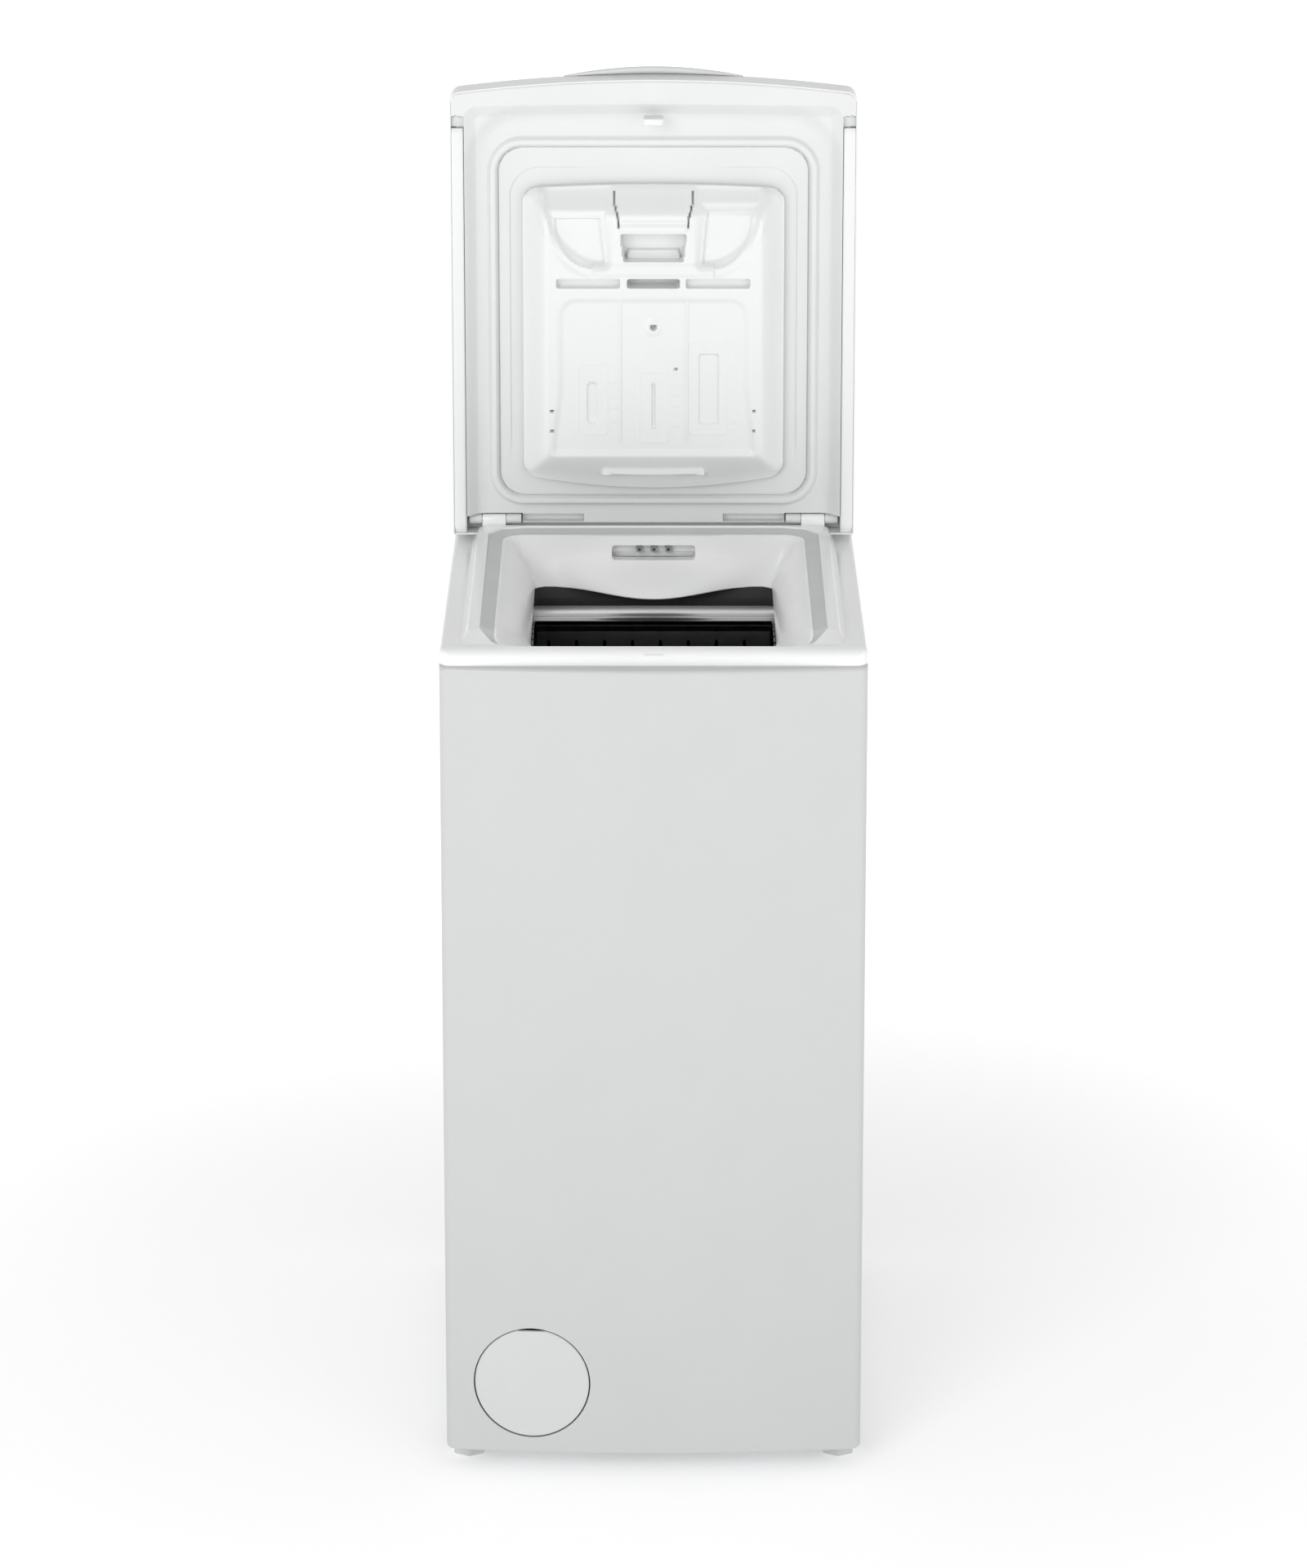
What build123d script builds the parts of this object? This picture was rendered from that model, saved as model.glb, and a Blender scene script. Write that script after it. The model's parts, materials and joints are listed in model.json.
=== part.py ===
from build123d import *

import math
import os

# Top loading washing machine with a drum on a cross axis. Millimetres, +Z up, the front faces -Y,
# and the origin is on the floor below the middle of the cabinet.

# ---------------------------------------------------------------- cabinet
HALF_WIDTH = 200.0
FRONT_CENTRE_Y = -300.0  # the front is bowed: furthest forward in the middle
FRONT_CORNER_Y = -287.0
PANEL_REAR_Y = -273.0  # where the front panel meets the side panels
REAR_FLANGE_Y = 290.0
BACK_Y = 300.0  # tips of the hose spigots
SHEET = 1.0
SKIRT_Z = 20.0  # lower edge of the cabinet panels
SEAM_Z = 805.0  # upper edge of the cabinet panels
FLANGE = 14.0
CORNER_R = 6.0
BEND_R = 5.0

# ---------------------------------------------------------------- top frame
WALL = 2.5
LEDGE_Z = 820.0
LEDGE_HALF_INNER = 181.0
DECK_Z = 826.0
FRAME_FRONT_Y = -285.0
FRAME_REAR_Y = 178.0
PLATFORM_REAR_Y = 144.0
PLATFORM_TOP = [(-271.0, 820.0), (-262.0, 820.3), (-238.0, 829.0), (-221.0, 830.5), (PLATFORM_REAR_Y, 836.0)]
OPENING_HALF = [(0, -271), (128, -271), (150, -262), (163, -238),
                (164, 112), (150, 133), (128, 139), (0, 139)]
OPENING_R = 10.0

# ---------------------------------------------------------------- collar between lid opening and tub
MOUTH_Z = 781.0
RIM_HALF = 150.0
MOUTH_HALF = 118.0
RIM_REAR_Y = 126.0
RIM_FRONT_Y = -262.0
MOUTH_REAR_Y = 110.0
MOUTH_FRONT_Y = -130.0
LIP_CENTRE_Y = 60.0  # the rear lip bulges forward in the middle
LIP_HALF = 100.0
COLLAR_SIDES = [(RIM_HALF, 831.0), (136.0, 812.0), (121.0, 792.0), (MOUTH_HALF, MOUTH_Z)]
COLLAR_DEPTH = [(RIM_REAR_Y, 831.0), (121.0, 800.0), (MOUTH_REAR_Y, MOUTH_Z), (MOUTH_FRONT_Y, MOUTH_Z),
                (RIM_FRONT_Y, 813.5), (RIM_FRONT_Y, 831.0)]
RECESS_HALF = 41.6
RECESS_Z = (806.0, 820.0)
RECESS_REAR_Y = 138.5
NOZZLES_X = (-14.0, 0.5, 15.0)
NOZZLE_Z = 814.0

# ---------------------------------------------------------------- lid, stored open at a right angle
HINGE_Y = 150.0
HINGE_Z = 841.0
HINGE_R = 5.0
PIN_R = 2.5
RUNNING = 0.06
# On this plane x is the machine's X, y is the height above the hinge and z points forward.
LID = Plane(origin=(0, HINGE_Y, HINGE_Z), x_dir=(1, 0, 0), z_dir=(0, -1, 0))
LID_SKIN = 1.8
LID_BACK = -22.0
LID_RIM = 20.0
LID_ROOF = -10.0
LID_BASE = 3.0
LID_LOW = -13.0
LID_CORNER = 432.0
LID_TOP = 445.0
LID_HANDLE_TOP = 452.0
HANDLE_HALF = 88.0
STRIP_INNER = 186.0
STRIP_TOP = 397.0
FRAME_KNUCKLE = (147.4, 171.0)
LID_KNUCKLES = ((132.0, 147.0), (171.4, 184.0))
RIDGE_HALF = 158.0
RIDGE_LOW = 20.0
RIDGE_HIGH = 381.0
RIDGE_R = 29.0
RIDGE_TOP = 8.0

# ---------------------------------------------------------------- detergent dispenser inside the lid
TRAY_HALF = 128.6
TRAY_LOW = 48.0
TRAY_LOW_MIDDLE = 35.0
TRAY_HIGH = 336.0
TRAY_HIGH_MIDDLE = 340.0
TRAY_FLANGE = 12.0
TRAY_FLOOR = 4.5
FACE_HALF = 99.0
FACE_LOW = 73.0
FACE_HIGH = 300.0
FACE = 42.0
PIVOT_U = 51.0
PIVOT_V = 8.0
EAR_X = (60.4, 64.0)

# ---------------------------------------------------------------- tub and drum, axis along X
AXIS_Z = 528.0
DRUM_R = 238.0
DRUM_HALF = 130.0
DRUM_SHEET = 1.5
RUBBER = 3.0
DOOR_HALF = 116.0
DOOR_ANGLE = 24.4
TUB_R = 258.0
TUB_WALL = 4.0
TUB_HALF = 148.0
END_WALL = 10.0
NECK_HALF_Y = 107.0
NECK_HALF_X = 138.0
NECK_TOP = 771.0
NECK_LOW = 747.0
SHAFT_R = 12.5
BEARING_R = 24.0
HUB_R = 34.0
HUB_OUT = 166.0
PULLEY_R = 138.0
PULLEY_X = (170.0, 184.0)
MOTOR_Y = 90.0
MOTOR_Z = 165.0
MOTOR_R = 70.0
MOTOR_X = (-20.0, 150.0)
MOTOR_PULLEY_R = 10.0
BELT = 3.0
DAMPERS = ((100.0, -150.0), (-100.0, 150.0))
SPRING_X = 172.0
SPRING_Y = 150.0
SPRING_Z = (690.0, 790.0)
HEATER_R = 3.5
HEATER_Z = 282.2

# ---------------------------------------------------------------- pump, filter and feet
FILTER_X = -117.0
FILTER_Z = 93.0
COVER_R = 55.0
COVER_GAP = 1.2
SUMP_Y = -110.0
FOOT_X = 179.5
FOOT_Y = 240.0
FOOT_FLATS = 29.0
STUD_R = 4.0
BASE_Z = 21.0
BASE_TOP = 58.0

# ---------------------------------------------------------------- control housing behind the lid
CONSOLE_FRONT_Y = 178.5
CONSOLE_REAR_Y = 296.0
CONSOLE_EDGE_Z = 868.0
CONSOLE_TOP_Y = 240.0
MACHINE_TOP = 900.0
_slope = math.hypot(CONSOLE_TOP_Y - CONSOLE_FRONT_Y, MACHINE_TOP - CONSOLE_EDGE_Z)
CONSOLE_NORMAL = (0, -(MACHINE_TOP - CONSOLE_EDGE_Z) / _slope, (CONSOLE_TOP_Y - CONSOLE_FRONT_Y) / _slope)
CONSOLE = Plane(
    origin=(0, (CONSOLE_FRONT_Y + CONSOLE_TOP_Y) / 2, (CONSOLE_EDGE_Z + MACHINE_TOP) / 2),
    x_dir=(1, 0, 0),
    z_dir=CONSOLE_NORMAL,
)
DIAL_X = 0.0
DIAL_R = 21.0
DIAL_SHAFT_R = 3.5
BUTTON_R = 8.0
START_X = 150.0
OPTIONS_X = (70.0, 105.0)
DISPLAY_X = (-110.0, -45.0)

PARTS = "parts"
os.makedirs(PARTS, exist_ok=True)


def save(piece, name):
    """Labels a finished piece and writes its STEP file."""
    piece.part.label = name
    export_step(piece.part, f"{PARTS}/{name}.step")


def block(x, y, z, mode=Mode.ADD):
    """A box between the low and high limits on each axis."""
    with Locations(((x[0] + x[1]) / 2, (y[0] + y[1]) / 2, (z[0] + z[1]) / 2)):
        Box(x[1] - x[0], y[1] - y[0], z[1] - z[0], mode=mode)


def lid_block(x, u, v, mode=Mode.ADD):
    """A box in the lid's own directions: x across, u up from the hinge, v forward from it."""
    block(x, (HINGE_Y - v[1], HINGE_Y - v[0]), (HINGE_Z + u[0], HINGE_Z + u[1]), mode)


def along_x(x, y, z, radius, mode=Mode.ADD):
    """A round bar from x[0] to x[1]."""
    with BuildSketch(Plane.YZ.offset(x[0])) as section:
        with Locations((y, z)):
            Circle(radius)
    extrude(section.sketch, amount=x[1] - x[0], mode=mode)


def along_y(x, y, z, radius, mode=Mode.ADD):
    """A round bar from y[0] to y[1]."""
    with BuildSketch(Plane.XZ.offset(-y[0])) as section:
        with Locations((x, z)):
            Circle(radius)
    extrude(section.sketch, amount=-(y[1] - y[0]), mode=mode)


def along_z(x, y, z, radius, mode=Mode.ADD):
    """A round bar from z[0] to z[1]."""
    with BuildSketch(Plane.XY.offset(z[0])) as section:
        with Locations((x, y)):
            Circle(radius)
    extrude(section.sketch, amount=z[1] - z[0], mode=mode)


def across(points, half, mode=Mode.ADD):
    """A closed outline of (y, z) points, extruded both ways along X."""
    with BuildSketch(Plane.YZ) as section:
        with BuildLine():
            Polyline(*points, close=True)
        make_face()
    extrude(section.sketch, amount=half, both=True, mode=mode)


def lid_across(points, x, mode=Mode.ADD):
    """A closed outline of (u, v) points on the lid, extruded from x[0] to x[1]."""
    with BuildSketch(Plane.YZ.offset(x[0])) as section:
        with BuildLine():
            Polyline(*[(HINGE_Y - v, HINGE_Z + u) for u, v in points], close=True)
        make_face()
    extrude(section.sketch, amount=x[1] - x[0], mode=mode)


def both_sides(half_outline):
    """The closed outline made of a right half and its mirror image, without the shared ends twice."""
    left = [(-x, y) for x, y in reversed(half_outline) if x > 0]
    return [*half_outline, *left]


# ================================================================ cabinet
def bowed_body(shift=0.0):
    """The bowed front corner of the cabinet as a solid, optionally moved back by shift."""
    with BuildPart() as body:
        with BuildSketch(Plane.XY.offset(SKIRT_Z)):
            with BuildLine():
                left, right = (-HALF_WIDTH, FRONT_CORNER_Y + shift), (HALF_WIDTH, FRONT_CORNER_Y + shift)
                ThreePointArc(left, (0, FRONT_CENTRE_Y + shift), right)
                Polyline(right, (HALF_WIDTH, PANEL_REAR_Y), (-HALF_WIDTH, PANEL_REAR_Y), left)
            make_face()
        extrude(amount=SEAM_Z - SKIRT_Z)
        upright = body.edges().filter_by(Axis.Z).group_by(Axis.Y)[0]
        fillet(upright, CORNER_R)
        ends = body.faces().filter_by(Axis.Z)
        rims = ends.edges().filter_by(lambda e: e.center().Y < PANEL_REAR_Y - SHEET)
        fillet(rims, BEND_R)
    return body


bowed = bowed_body()
bowed_behind = bowed_body(WALL)

with BuildPart() as hole_ring:
    ring_depth = 8.0
    along_y(FILTER_X, (FRONT_CENTRE_Y, FRONT_CORNER_Y + ring_depth), FILTER_Z, COVER_R + COVER_GAP + SHEET)
    along_y(FILTER_X, (FRONT_CENTRE_Y, BACK_Y), FILTER_Z, COVER_R + COVER_GAP, mode=Mode.SUBTRACT)
    add(bowed.part, mode=Mode.INTERSECT)

with BuildPart() as front_panel:
    add(bowed.part)
    offset(amount=-SHEET, openings=front_panel.faces().sort_by(Axis.Y)[-1])
    along_y(FILTER_X, (FRONT_CENTRE_Y, PANEL_REAR_Y), FILTER_Z, COVER_R + COVER_GAP, mode=Mode.SUBTRACT)
    add(hole_ring.part)
save(front_panel, "front_panel")

with BuildPart() as notched_disc:
    notch_half = 12.0
    notch_depth = 3.0
    along_y(FILTER_X, (FRONT_CENTRE_Y, PANEL_REAR_Y), FILTER_Z, COVER_R)
    block(
        (FILTER_X - notch_half, FILTER_X + notch_half),
        (FRONT_CENTRE_Y, PANEL_REAR_Y),
        (FILTER_Z + COVER_R - notch_depth, FILTER_Z + COVER_R),
        mode=Mode.SUBTRACT,
    )

with BuildPart() as filter_cover:
    add(bowed.part)
    add(bowed_behind.part, mode=Mode.SUBTRACT)
    add(notched_disc.part, mode=Mode.INTERSECT)
save(filter_cover, "filter_cover")

for side, name in ((-1, "left_side_panel"), (1, "right_side_panel")):
    with BuildPart() as side_panel:
        bracket_half = 12.0
        bracket_in = 163.0
        top_z = SPRING_Z[1]
        outer = sorted((side * HALF_WIDTH, side * (HALF_WIDTH - SHEET)))
        flange = sorted((side * HALF_WIDTH, side * (HALF_WIDTH - FLANGE)))
        foot_flange = sorted((side * HALF_WIDTH, side * (HALF_WIDTH - FLANGE / 2)))
        block(outer, (PANEL_REAR_Y, REAR_FLANGE_Y + SHEET), (SKIRT_Z, SEAM_Z))
        block(flange, (PANEL_REAR_Y, PANEL_REAR_Y + SHEET), (BASE_TOP, SEAM_Z))
        block(flange, (REAR_FLANGE_Y, REAR_FLANGE_Y + SHEET), (SKIRT_Z, SEAM_Z))
        block(flange, (PANEL_REAR_Y, REAR_FLANGE_Y + SHEET), (SEAM_Z - SHEET, SEAM_Z))
        block(foot_flange, (PANEL_REAR_Y, REAR_FLANGE_Y + SHEET), (SKIRT_Z, SKIRT_Z + SHEET))
        for place in (-SPRING_Y, SPRING_Y):
            reach = sorted((side * HALF_WIDTH, side * bracket_in))
            web = sorted((side * HALF_WIDTH, side * (HALF_WIDTH - 2 * SHEET)))
            block(reach, (place - bracket_half, place + bracket_half), (top_z, top_z + WALL))
            block(web, (place - bracket_half, place + bracket_half), (top_z, SEAM_Z))
    save(side_panel, name)

with BuildPart() as base_frame:
    half = HALF_WIDTH - SHEET - 0.2
    front_y, rear_y = PANEL_REAR_Y + SHEET + 0.2, REAR_FLANGE_Y - 0.2
    boss_r = 14.0
    boss_top = 50.0
    bracket = 12.0
    floor_z = BASE_Z + WALL
    block((-half, half), (front_y, rear_y), (BASE_Z, BASE_TOP))
    block((-half + WALL, half - WALL), (front_y + WALL, rear_y - WALL), (floor_z, BASE_TOP),
          mode=Mode.SUBTRACT)
    block((-60, 60), (-230, -90), (BASE_Z, floor_z), mode=Mode.SUBTRACT)
    block((-130, 130), (20, 120), (BASE_Z, floor_z), mode=Mode.SUBTRACT)
    for x in (-FOOT_X, FOOT_X):
        for y in (-FOOT_Y, FOOT_Y):
            along_z(x, y, (BASE_Z, boss_top), boss_r)
            along_z(x, y, (BASE_Z, boss_top), STUD_R + RUNNING, mode=Mode.SUBTRACT)
    for x, y in DAMPERS:
        block((x - bracket, x + bracket), (y - bracket, y + bracket), (floor_z, BASE_TOP))
save(base_frame, "base_frame")

COVER_X = (-140.0, 100.0)
COVER_Z = (250.0, 640.0)
with BuildPart() as rear_panel:
    edge = 184.0
    block((-edge, edge), (REAR_FLANGE_Y - SHEET, REAR_FLANGE_Y), (BASE_TOP + 1, SEAM_Z - SHEET - 1))
    block(COVER_X, (REAR_FLANGE_Y - SHEET, REAR_FLANGE_Y), COVER_Z, mode=Mode.SUBTRACT)
    bead = 14.0
    for z in (170.0, 210.0, 680.0):
        block((-edge + bead, edge - 5 * bead), (REAR_FLANGE_Y, REAR_FLANGE_Y + SHEET), (z, z + bead / 2))
    along_y(150.0, (REAR_FLANGE_Y - SHEET, REAR_FLANGE_Y), 760.0, 14.0, mode=Mode.SUBTRACT)
    along_y(-150.0, (REAR_FLANGE_Y - SHEET, REAR_FLANGE_Y), 735.0, 11.5, mode=Mode.SUBTRACT)
    along_y(-150.0, (REAR_FLANGE_Y - SHEET, REAR_FLANGE_Y), 110.0, 8.0, mode=Mode.SUBTRACT)
save(rear_panel, "rear_panel")

with BuildPart() as service_cover:
    lap = 10.0
    rib = 3.0
    cover_x = (COVER_X[0] - lap, COVER_X[1] + lap)
    cover_z = (COVER_Z[0] - lap, COVER_Z[1] + lap)
    block(cover_x, (REAR_FLANGE_Y, REAR_FLANGE_Y + 1.5), cover_z)
    vents = 9
    pitch = 22.0
    vent_x = (COVER_X[0] + COVER_X[1]) / 2
    with Locations(*[(vent_x, REAR_FLANGE_Y, 560.0 - pitch * i) for i in range(vents)]):
        Box(130.0, 4 * rib, 2 * rib, mode=Mode.SUBTRACT)
save(service_cover, "service_cover")

with BuildPart() as cabinet_screws:
    head_r = 3.5
    head_h = 2.0
    for x in (cover_x[0] + lap / 2, cover_x[1] - lap / 2):
        for z in (cover_z[0] + lap, (cover_z[0] + cover_z[1]) / 2, cover_z[1] - lap):
            along_y(x, (REAR_FLANGE_Y + 1.5, REAR_FLANGE_Y + 1.5 + head_h), z, head_r)
    for side in (-1, 1):
        for z in (120.0, 420.0, 770.0):
            along_y(side * 192.0, (REAR_FLANGE_Y + SHEET, REAR_FLANGE_Y + SHEET + head_h), z, head_r)
save(cabinet_screws, "cabinet_screws")

# ================================================================ feet
for side, side_name in ((-1, "left"), (1, "right")):
    for end, end_name in ((-1, "front"), (1, "rear")):
        with BuildPart() as foot:
            pad_z = 12.0
            stud_top = 46.0
            with BuildSketch():
                with Locations((side * FOOT_X, end * FOOT_Y)):
                    RegularPolygon(radius=FOOT_FLATS / math.sqrt(3), side_count=6, rotation=30)
            extrude(amount=pad_z)
            chamfer(foot.faces().sort_by(Axis.Z)[0].edges(), 1.5)
            along_z(side * FOOT_X, end * FOOT_Y, (pad_z, stud_top), STUD_R)
        save(foot, f"foot_{end_name}_{side_name}")

with BuildPart() as foot_nuts:
    nut_z = 14.5
    with BuildSketch(Plane.XY.offset(nut_z)):
        with GridLocations(2 * FOOT_X, 2 * FOOT_Y, 2, 2):
            RegularPolygon(radius=7.5, side_count=6)
            Circle(STUD_R + RUNNING, mode=Mode.SUBTRACT)
    extrude(amount=BASE_Z - nut_z)
save(foot_nuts, "foot_nuts")

# ================================================================ top frame, seal and collar
with BuildPart() as top_frame:
    low = SEAM_Z
    with BuildSketch(Plane.XY.offset(low)) as plan:
        block_y = (FRAME_FRONT_Y + FRAME_REAR_Y) / 2
        with Locations((0, block_y)):
            Rectangle(2 * HALF_WIDTH, FRAME_REAR_Y - FRAME_FRONT_Y)
        fillet(plan.vertices().group_by(Axis.Y)[0], 2 * CORNER_R)
    extrude(amount=LEDGE_Z - low)
    upper_edges = top_frame.faces().sort_by(Axis.Z)[-1].edges()
    front_edges = upper_edges.filter_by(lambda e: e.center().Y < FRAME_REAR_Y - 1)
    fillet(front_edges, 4.0)
    across([(PLATFORM_TOP[0][0], low), *PLATFORM_TOP, (PLATFORM_REAR_Y, low)], LEDGE_HALF_INNER)
    across([(PLATFORM_REAR_Y, low), (PLATFORM_REAR_Y, DECK_Z), (FRAME_REAR_Y, DECK_Z), (FRAME_REAR_Y, low)],
           LEDGE_HALF_INNER)
    inner = HALF_WIDTH - WALL
    block((-inner, inner), (FRAME_FRONT_Y + WALL, FRAME_REAR_Y - WALL), (low, LEDGE_Z - WALL),
          mode=Mode.SUBTRACT)
    under = [(y + (WALL if i == 0 else 0), z - WALL) for i, (y, z) in enumerate(PLATFORM_TOP[:-1])]
    rear_inner = PLATFORM_REAR_Y - WALL
    across([(under[0][0], low), *under, (rear_inner, PLATFORM_TOP[-1][1] - WALL), (rear_inner, low)],
           LEDGE_HALF_INNER - WALL, mode=Mode.SUBTRACT)
    across([(rear_inner - 1, low), (rear_inner - 1, DECK_Z - WALL), (FRAME_REAR_Y - WALL, DECK_Z - WALL),
            (FRAME_REAR_Y - WALL, low)], LEDGE_HALF_INNER - WALL, mode=Mode.SUBTRACT)
    with BuildSketch(Plane.XY.offset(low)) as hole:
        with BuildLine():
            Polyline(*both_sides(OPENING_HALF), close=True)
        make_face()
        fillet(hole.vertices().filter_by(lambda p: abs(p.X) > 1), OPENING_R)
    extrude(amount=2 * (HINGE_Z - low), mode=Mode.SUBTRACT)
    for side in (-1, 1):
        post = sorted(side * x for x in FRAME_KNUCKLE)
        block(post, (HINGE_Y - HINGE_R, HINGE_Y + HINGE_R), (DECK_Z - 1, HINGE_Z))
        along_x(post, HINGE_Y, HINGE_Z, HINGE_R)
        along_x(post, HINGE_Y, HINGE_Z, PIN_R, mode=Mode.SUBTRACT)
save(top_frame, "top_frame")

FLANGE_LINE = [(139.0, 830.0), (-236.0, 826.0), (-262.0, 813.5), (-271.0, 813.5)]
SEAL_LINE = [(139.0, 834.5), (-236.0, 829.0), (-262.0, 818.0), (-271.0, 818.0)]


def strip(upper, lower):
    """The closed outline between two lines that run from the rear to the front."""
    return [*upper, *reversed(lower)]


def lowered(line, drop):
    return [(y, z - drop) for y, z in line]


def hopper(inset):
    """The inside of the collar, or its outside when inset is negative."""
    with BuildPart() as funnel:
        shift = -inset
        depth = [(y + (shift if y > 0 else -shift), z) for y, z in COLLAR_DEPTH]
        front_drop = shift / 2
        depth[3] = (depth[3][0], MOUTH_Z)
        depth[4] = (depth[4][0], COLLAR_DEPTH[4][1] - front_drop)
        across(depth, 2 * HALF_WIDTH)
        with BuildSketch(Plane.XZ):
            with BuildLine():
                sides = [(x + shift, z) for x, z in COLLAR_SIDES]
                Polyline(*sides, *[(-x, z) for x, z in reversed(sides)], close=True)
            make_face()
        extrude(amount=2 * HALF_WIDTH, both=True, mode=Mode.INTERSECT)
    return funnel


collar_inside = hopper(0.0)
collar_outside = hopper(-WALL)

with BuildPart() as lens:
    reach = 12.0
    with BuildSketch(Plane.XY.offset(MOUTH_Z)):
        with BuildLine():
            left, right = (-LIP_HALF, MOUTH_REAR_Y), (LIP_HALF, MOUTH_REAR_Y)
            ThreePointArc(left, (0, LIP_CENTRE_Y), right)
            Polyline(right, (LIP_HALF, MOUTH_REAR_Y + reach), (-LIP_HALF, MOUTH_REAR_Y + reach), left)
        make_face()
    extrude(amount=LEDGE_Z - MOUTH_Z)

with BuildPart() as lip_wedge:
    across([(123.0, 801.0), (LIP_CENTRE_Y, MOUTH_Z + WALL), (LIP_CENTRE_Y, MOUTH_Z),
            (MOUTH_REAR_Y + 2, MOUTH_Z)], MOUTH_HALF)
    add(lens.part, mode=Mode.INTERSECT)

with BuildPart() as collar_outline:
    with BuildSketch(Plane.XY.offset(MOUTH_Z)) as flange_plan:
        with BuildLine():
            Polyline(*both_sides(OPENING_HALF), close=True)
        make_face()
        fillet(flange_plan.vertices().filter_by(lambda p: abs(p.X) > 1), OPENING_R)
        offset(amount=-0.2)
    extrude(amount=HINGE_Z - MOUTH_Z)

with BuildPart() as tub_collar:
    across(strip(FLANGE_LINE, lowered(FLANGE_LINE, WALL)), HALF_WIDTH)
    add(collar_outline.part, mode=Mode.INTERSECT)
    add(collar_outside.part)
    above = lowered(FLANGE_LINE, MOUTH_Z - HINGE_Z)
    across(strip(above, FLANGE_LINE), HALF_WIDTH, mode=Mode.SUBTRACT)
    block((-RECESS_HALF - WALL, RECESS_HALF + WALL), (118.0, RECESS_REAR_Y + WALL),
          (RECESS_Z[0] - WALL, RECESS_Z[1] + WALL))
    add(collar_inside.part, mode=Mode.SUBTRACT)
    block((-RECESS_HALF, RECESS_HALF), (RIM_REAR_Y - 20, RECESS_REAR_Y), RECESS_Z, mode=Mode.SUBTRACT)
    add(lip_wedge.part)
    slot_half = 11.0
    block((-slot_half, slot_half), (-261.5, -250.5), (MOUTH_Z, HINGE_Z), mode=Mode.SUBTRACT)
save(tub_collar, "tub_collar")

def rim_plan(z, grow=0.0):
    """The collar's rim in plan at height z."""
    with BuildSketch(Plane.XY.offset(z)) as plan:
        with Locations((0, (RIM_REAR_Y + RIM_FRONT_Y) / 2)):
            RectangleRounded(2 * (RIM_HALF + grow), RIM_REAR_Y - RIM_FRONT_Y + 2 * grow, 2 * OPENING_R)
    return plan.sketch


with BuildPart() as lid_seal:
    seal_rise = 6.0
    seal_run = 19.5
    across(strip(SEAL_LINE, FLANGE_LINE), HALF_WIDTH)
    add(collar_outline.part, mode=Mode.INTERSECT)
    low = FLANGE_LINE[0][1]
    loft([rim_plan(low), rim_plan(low + seal_rise, seal_run)], mode=Mode.SUBTRACT)
    extrude(rim_plan(MOUTH_Z), amount=HINGE_Z - MOUTH_Z, mode=Mode.SUBTRACT)
save(lid_seal, "lid_seal")

with BuildPart() as water_nozzles:
    nozzle_r = 3.5
    bore_r = 1.7
    for x in NOZZLES_X:
        along_y(x, (RECESS_REAR_Y - 8.0, RECESS_REAR_Y), NOZZLE_Z, nozzle_r)
        along_y(x, (RECESS_REAR_Y - 8.0, RECESS_REAR_Y - 1.0), NOZZLE_Z, bore_r, mode=Mode.SUBTRACT)
save(water_nozzles, "water_nozzles")

with BuildPart() as lid_lock:
    block((-22, 22), (-266, -246), (784, 806))
    block((-slot_half, slot_half), (-262, -250), (797, 806), mode=Mode.SUBTRACT)
save(lid_lock, "lid_lock")

def bellows_ends(grow):
    """The bellows' lower and upper outlines, grown by its wall."""
    top_y = (MOUTH_FRONT_Y, MOUTH_REAR_Y)
    low_half_x = 120.0
    low_half_y = NECK_HALF_Y - RUBBER
    with BuildSketch(Plane.XY.offset(NECK_TOP)) as lower:
        RectangleRounded(2 * (low_half_x + grow), 2 * (low_half_y + grow), 6 + grow)
    with BuildSketch(Plane.XY.offset(MOUTH_Z)) as upper:
        with Locations((0, (top_y[0] + top_y[1]) / 2)):
            RectangleRounded(2 * (MOUTH_HALF + grow), top_y[1] - top_y[0] + 2 * grow, 6 + grow)
    return [lower.sketch, upper.sketch]


with BuildPart() as tub_bellows:
    loft(bellows_ends(RUBBER))
    loft(bellows_ends(0.0), mode=Mode.SUBTRACT)
save(tub_bellows, "tub_bellows")

# ================================================================ lid
def lid_outline(v, inset=0.0):
    """The lid's outline at height v over its hinge plane, with its bowed front edge."""
    with BuildSketch(LID.offset(v)) as outline:
        with BuildLine():
            left, right = (-HALF_WIDTH, LID_CORNER), (HALF_WIDTH, LID_CORNER)
            ThreePointArc(left, (0, LID_TOP), right)
            Polyline(right, (HALF_WIDTH, LID_LOW), (-HALF_WIDTH, LID_LOW), left)
        make_face()
        fillet(outline.vertices().group_by(Axis.Y)[-1], 10.0)
        if inset:
            offset(amount=-inset)
    return outline.sketch


with BuildPart() as hinge_sweep:
    # what the skirts may not enter: outside a circle about the hinge, below and before it
    lid_block((-HALF_WIDTH, HALF_WIDTH), (LID_LOW, 0), (0, LID_RIM))
    along_x((-HALF_WIDTH, HALF_WIDTH), HINGE_Y, HINGE_Z, LID_RIM, mode=Mode.SUBTRACT)

with BuildPart() as lid_outer:
    extrude(lid_outline(LID_BACK), amount=LID_RIM - LID_BACK)
    back = lid_outer.faces().sort_by(Axis.Y)[-1]
    fillet(back.edges(), 5.0)
    extrude(lid_outline(LID_BACK + LID_SKIN, inset=LID_SKIN), amount=LID_RIM - LID_BACK, mode=Mode.SUBTRACT)
    half = HALF_WIDTH - LID_SKIN
    lid_block((-half, half), (LID_LOW, LID_LOW + 2 * LID_SKIN), (LID_ROOF, LID_RIM), mode=Mode.SUBTRACT)
    add(hinge_sweep.part, mode=Mode.SUBTRACT)
save(lid_outer, "lid_outer")

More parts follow.
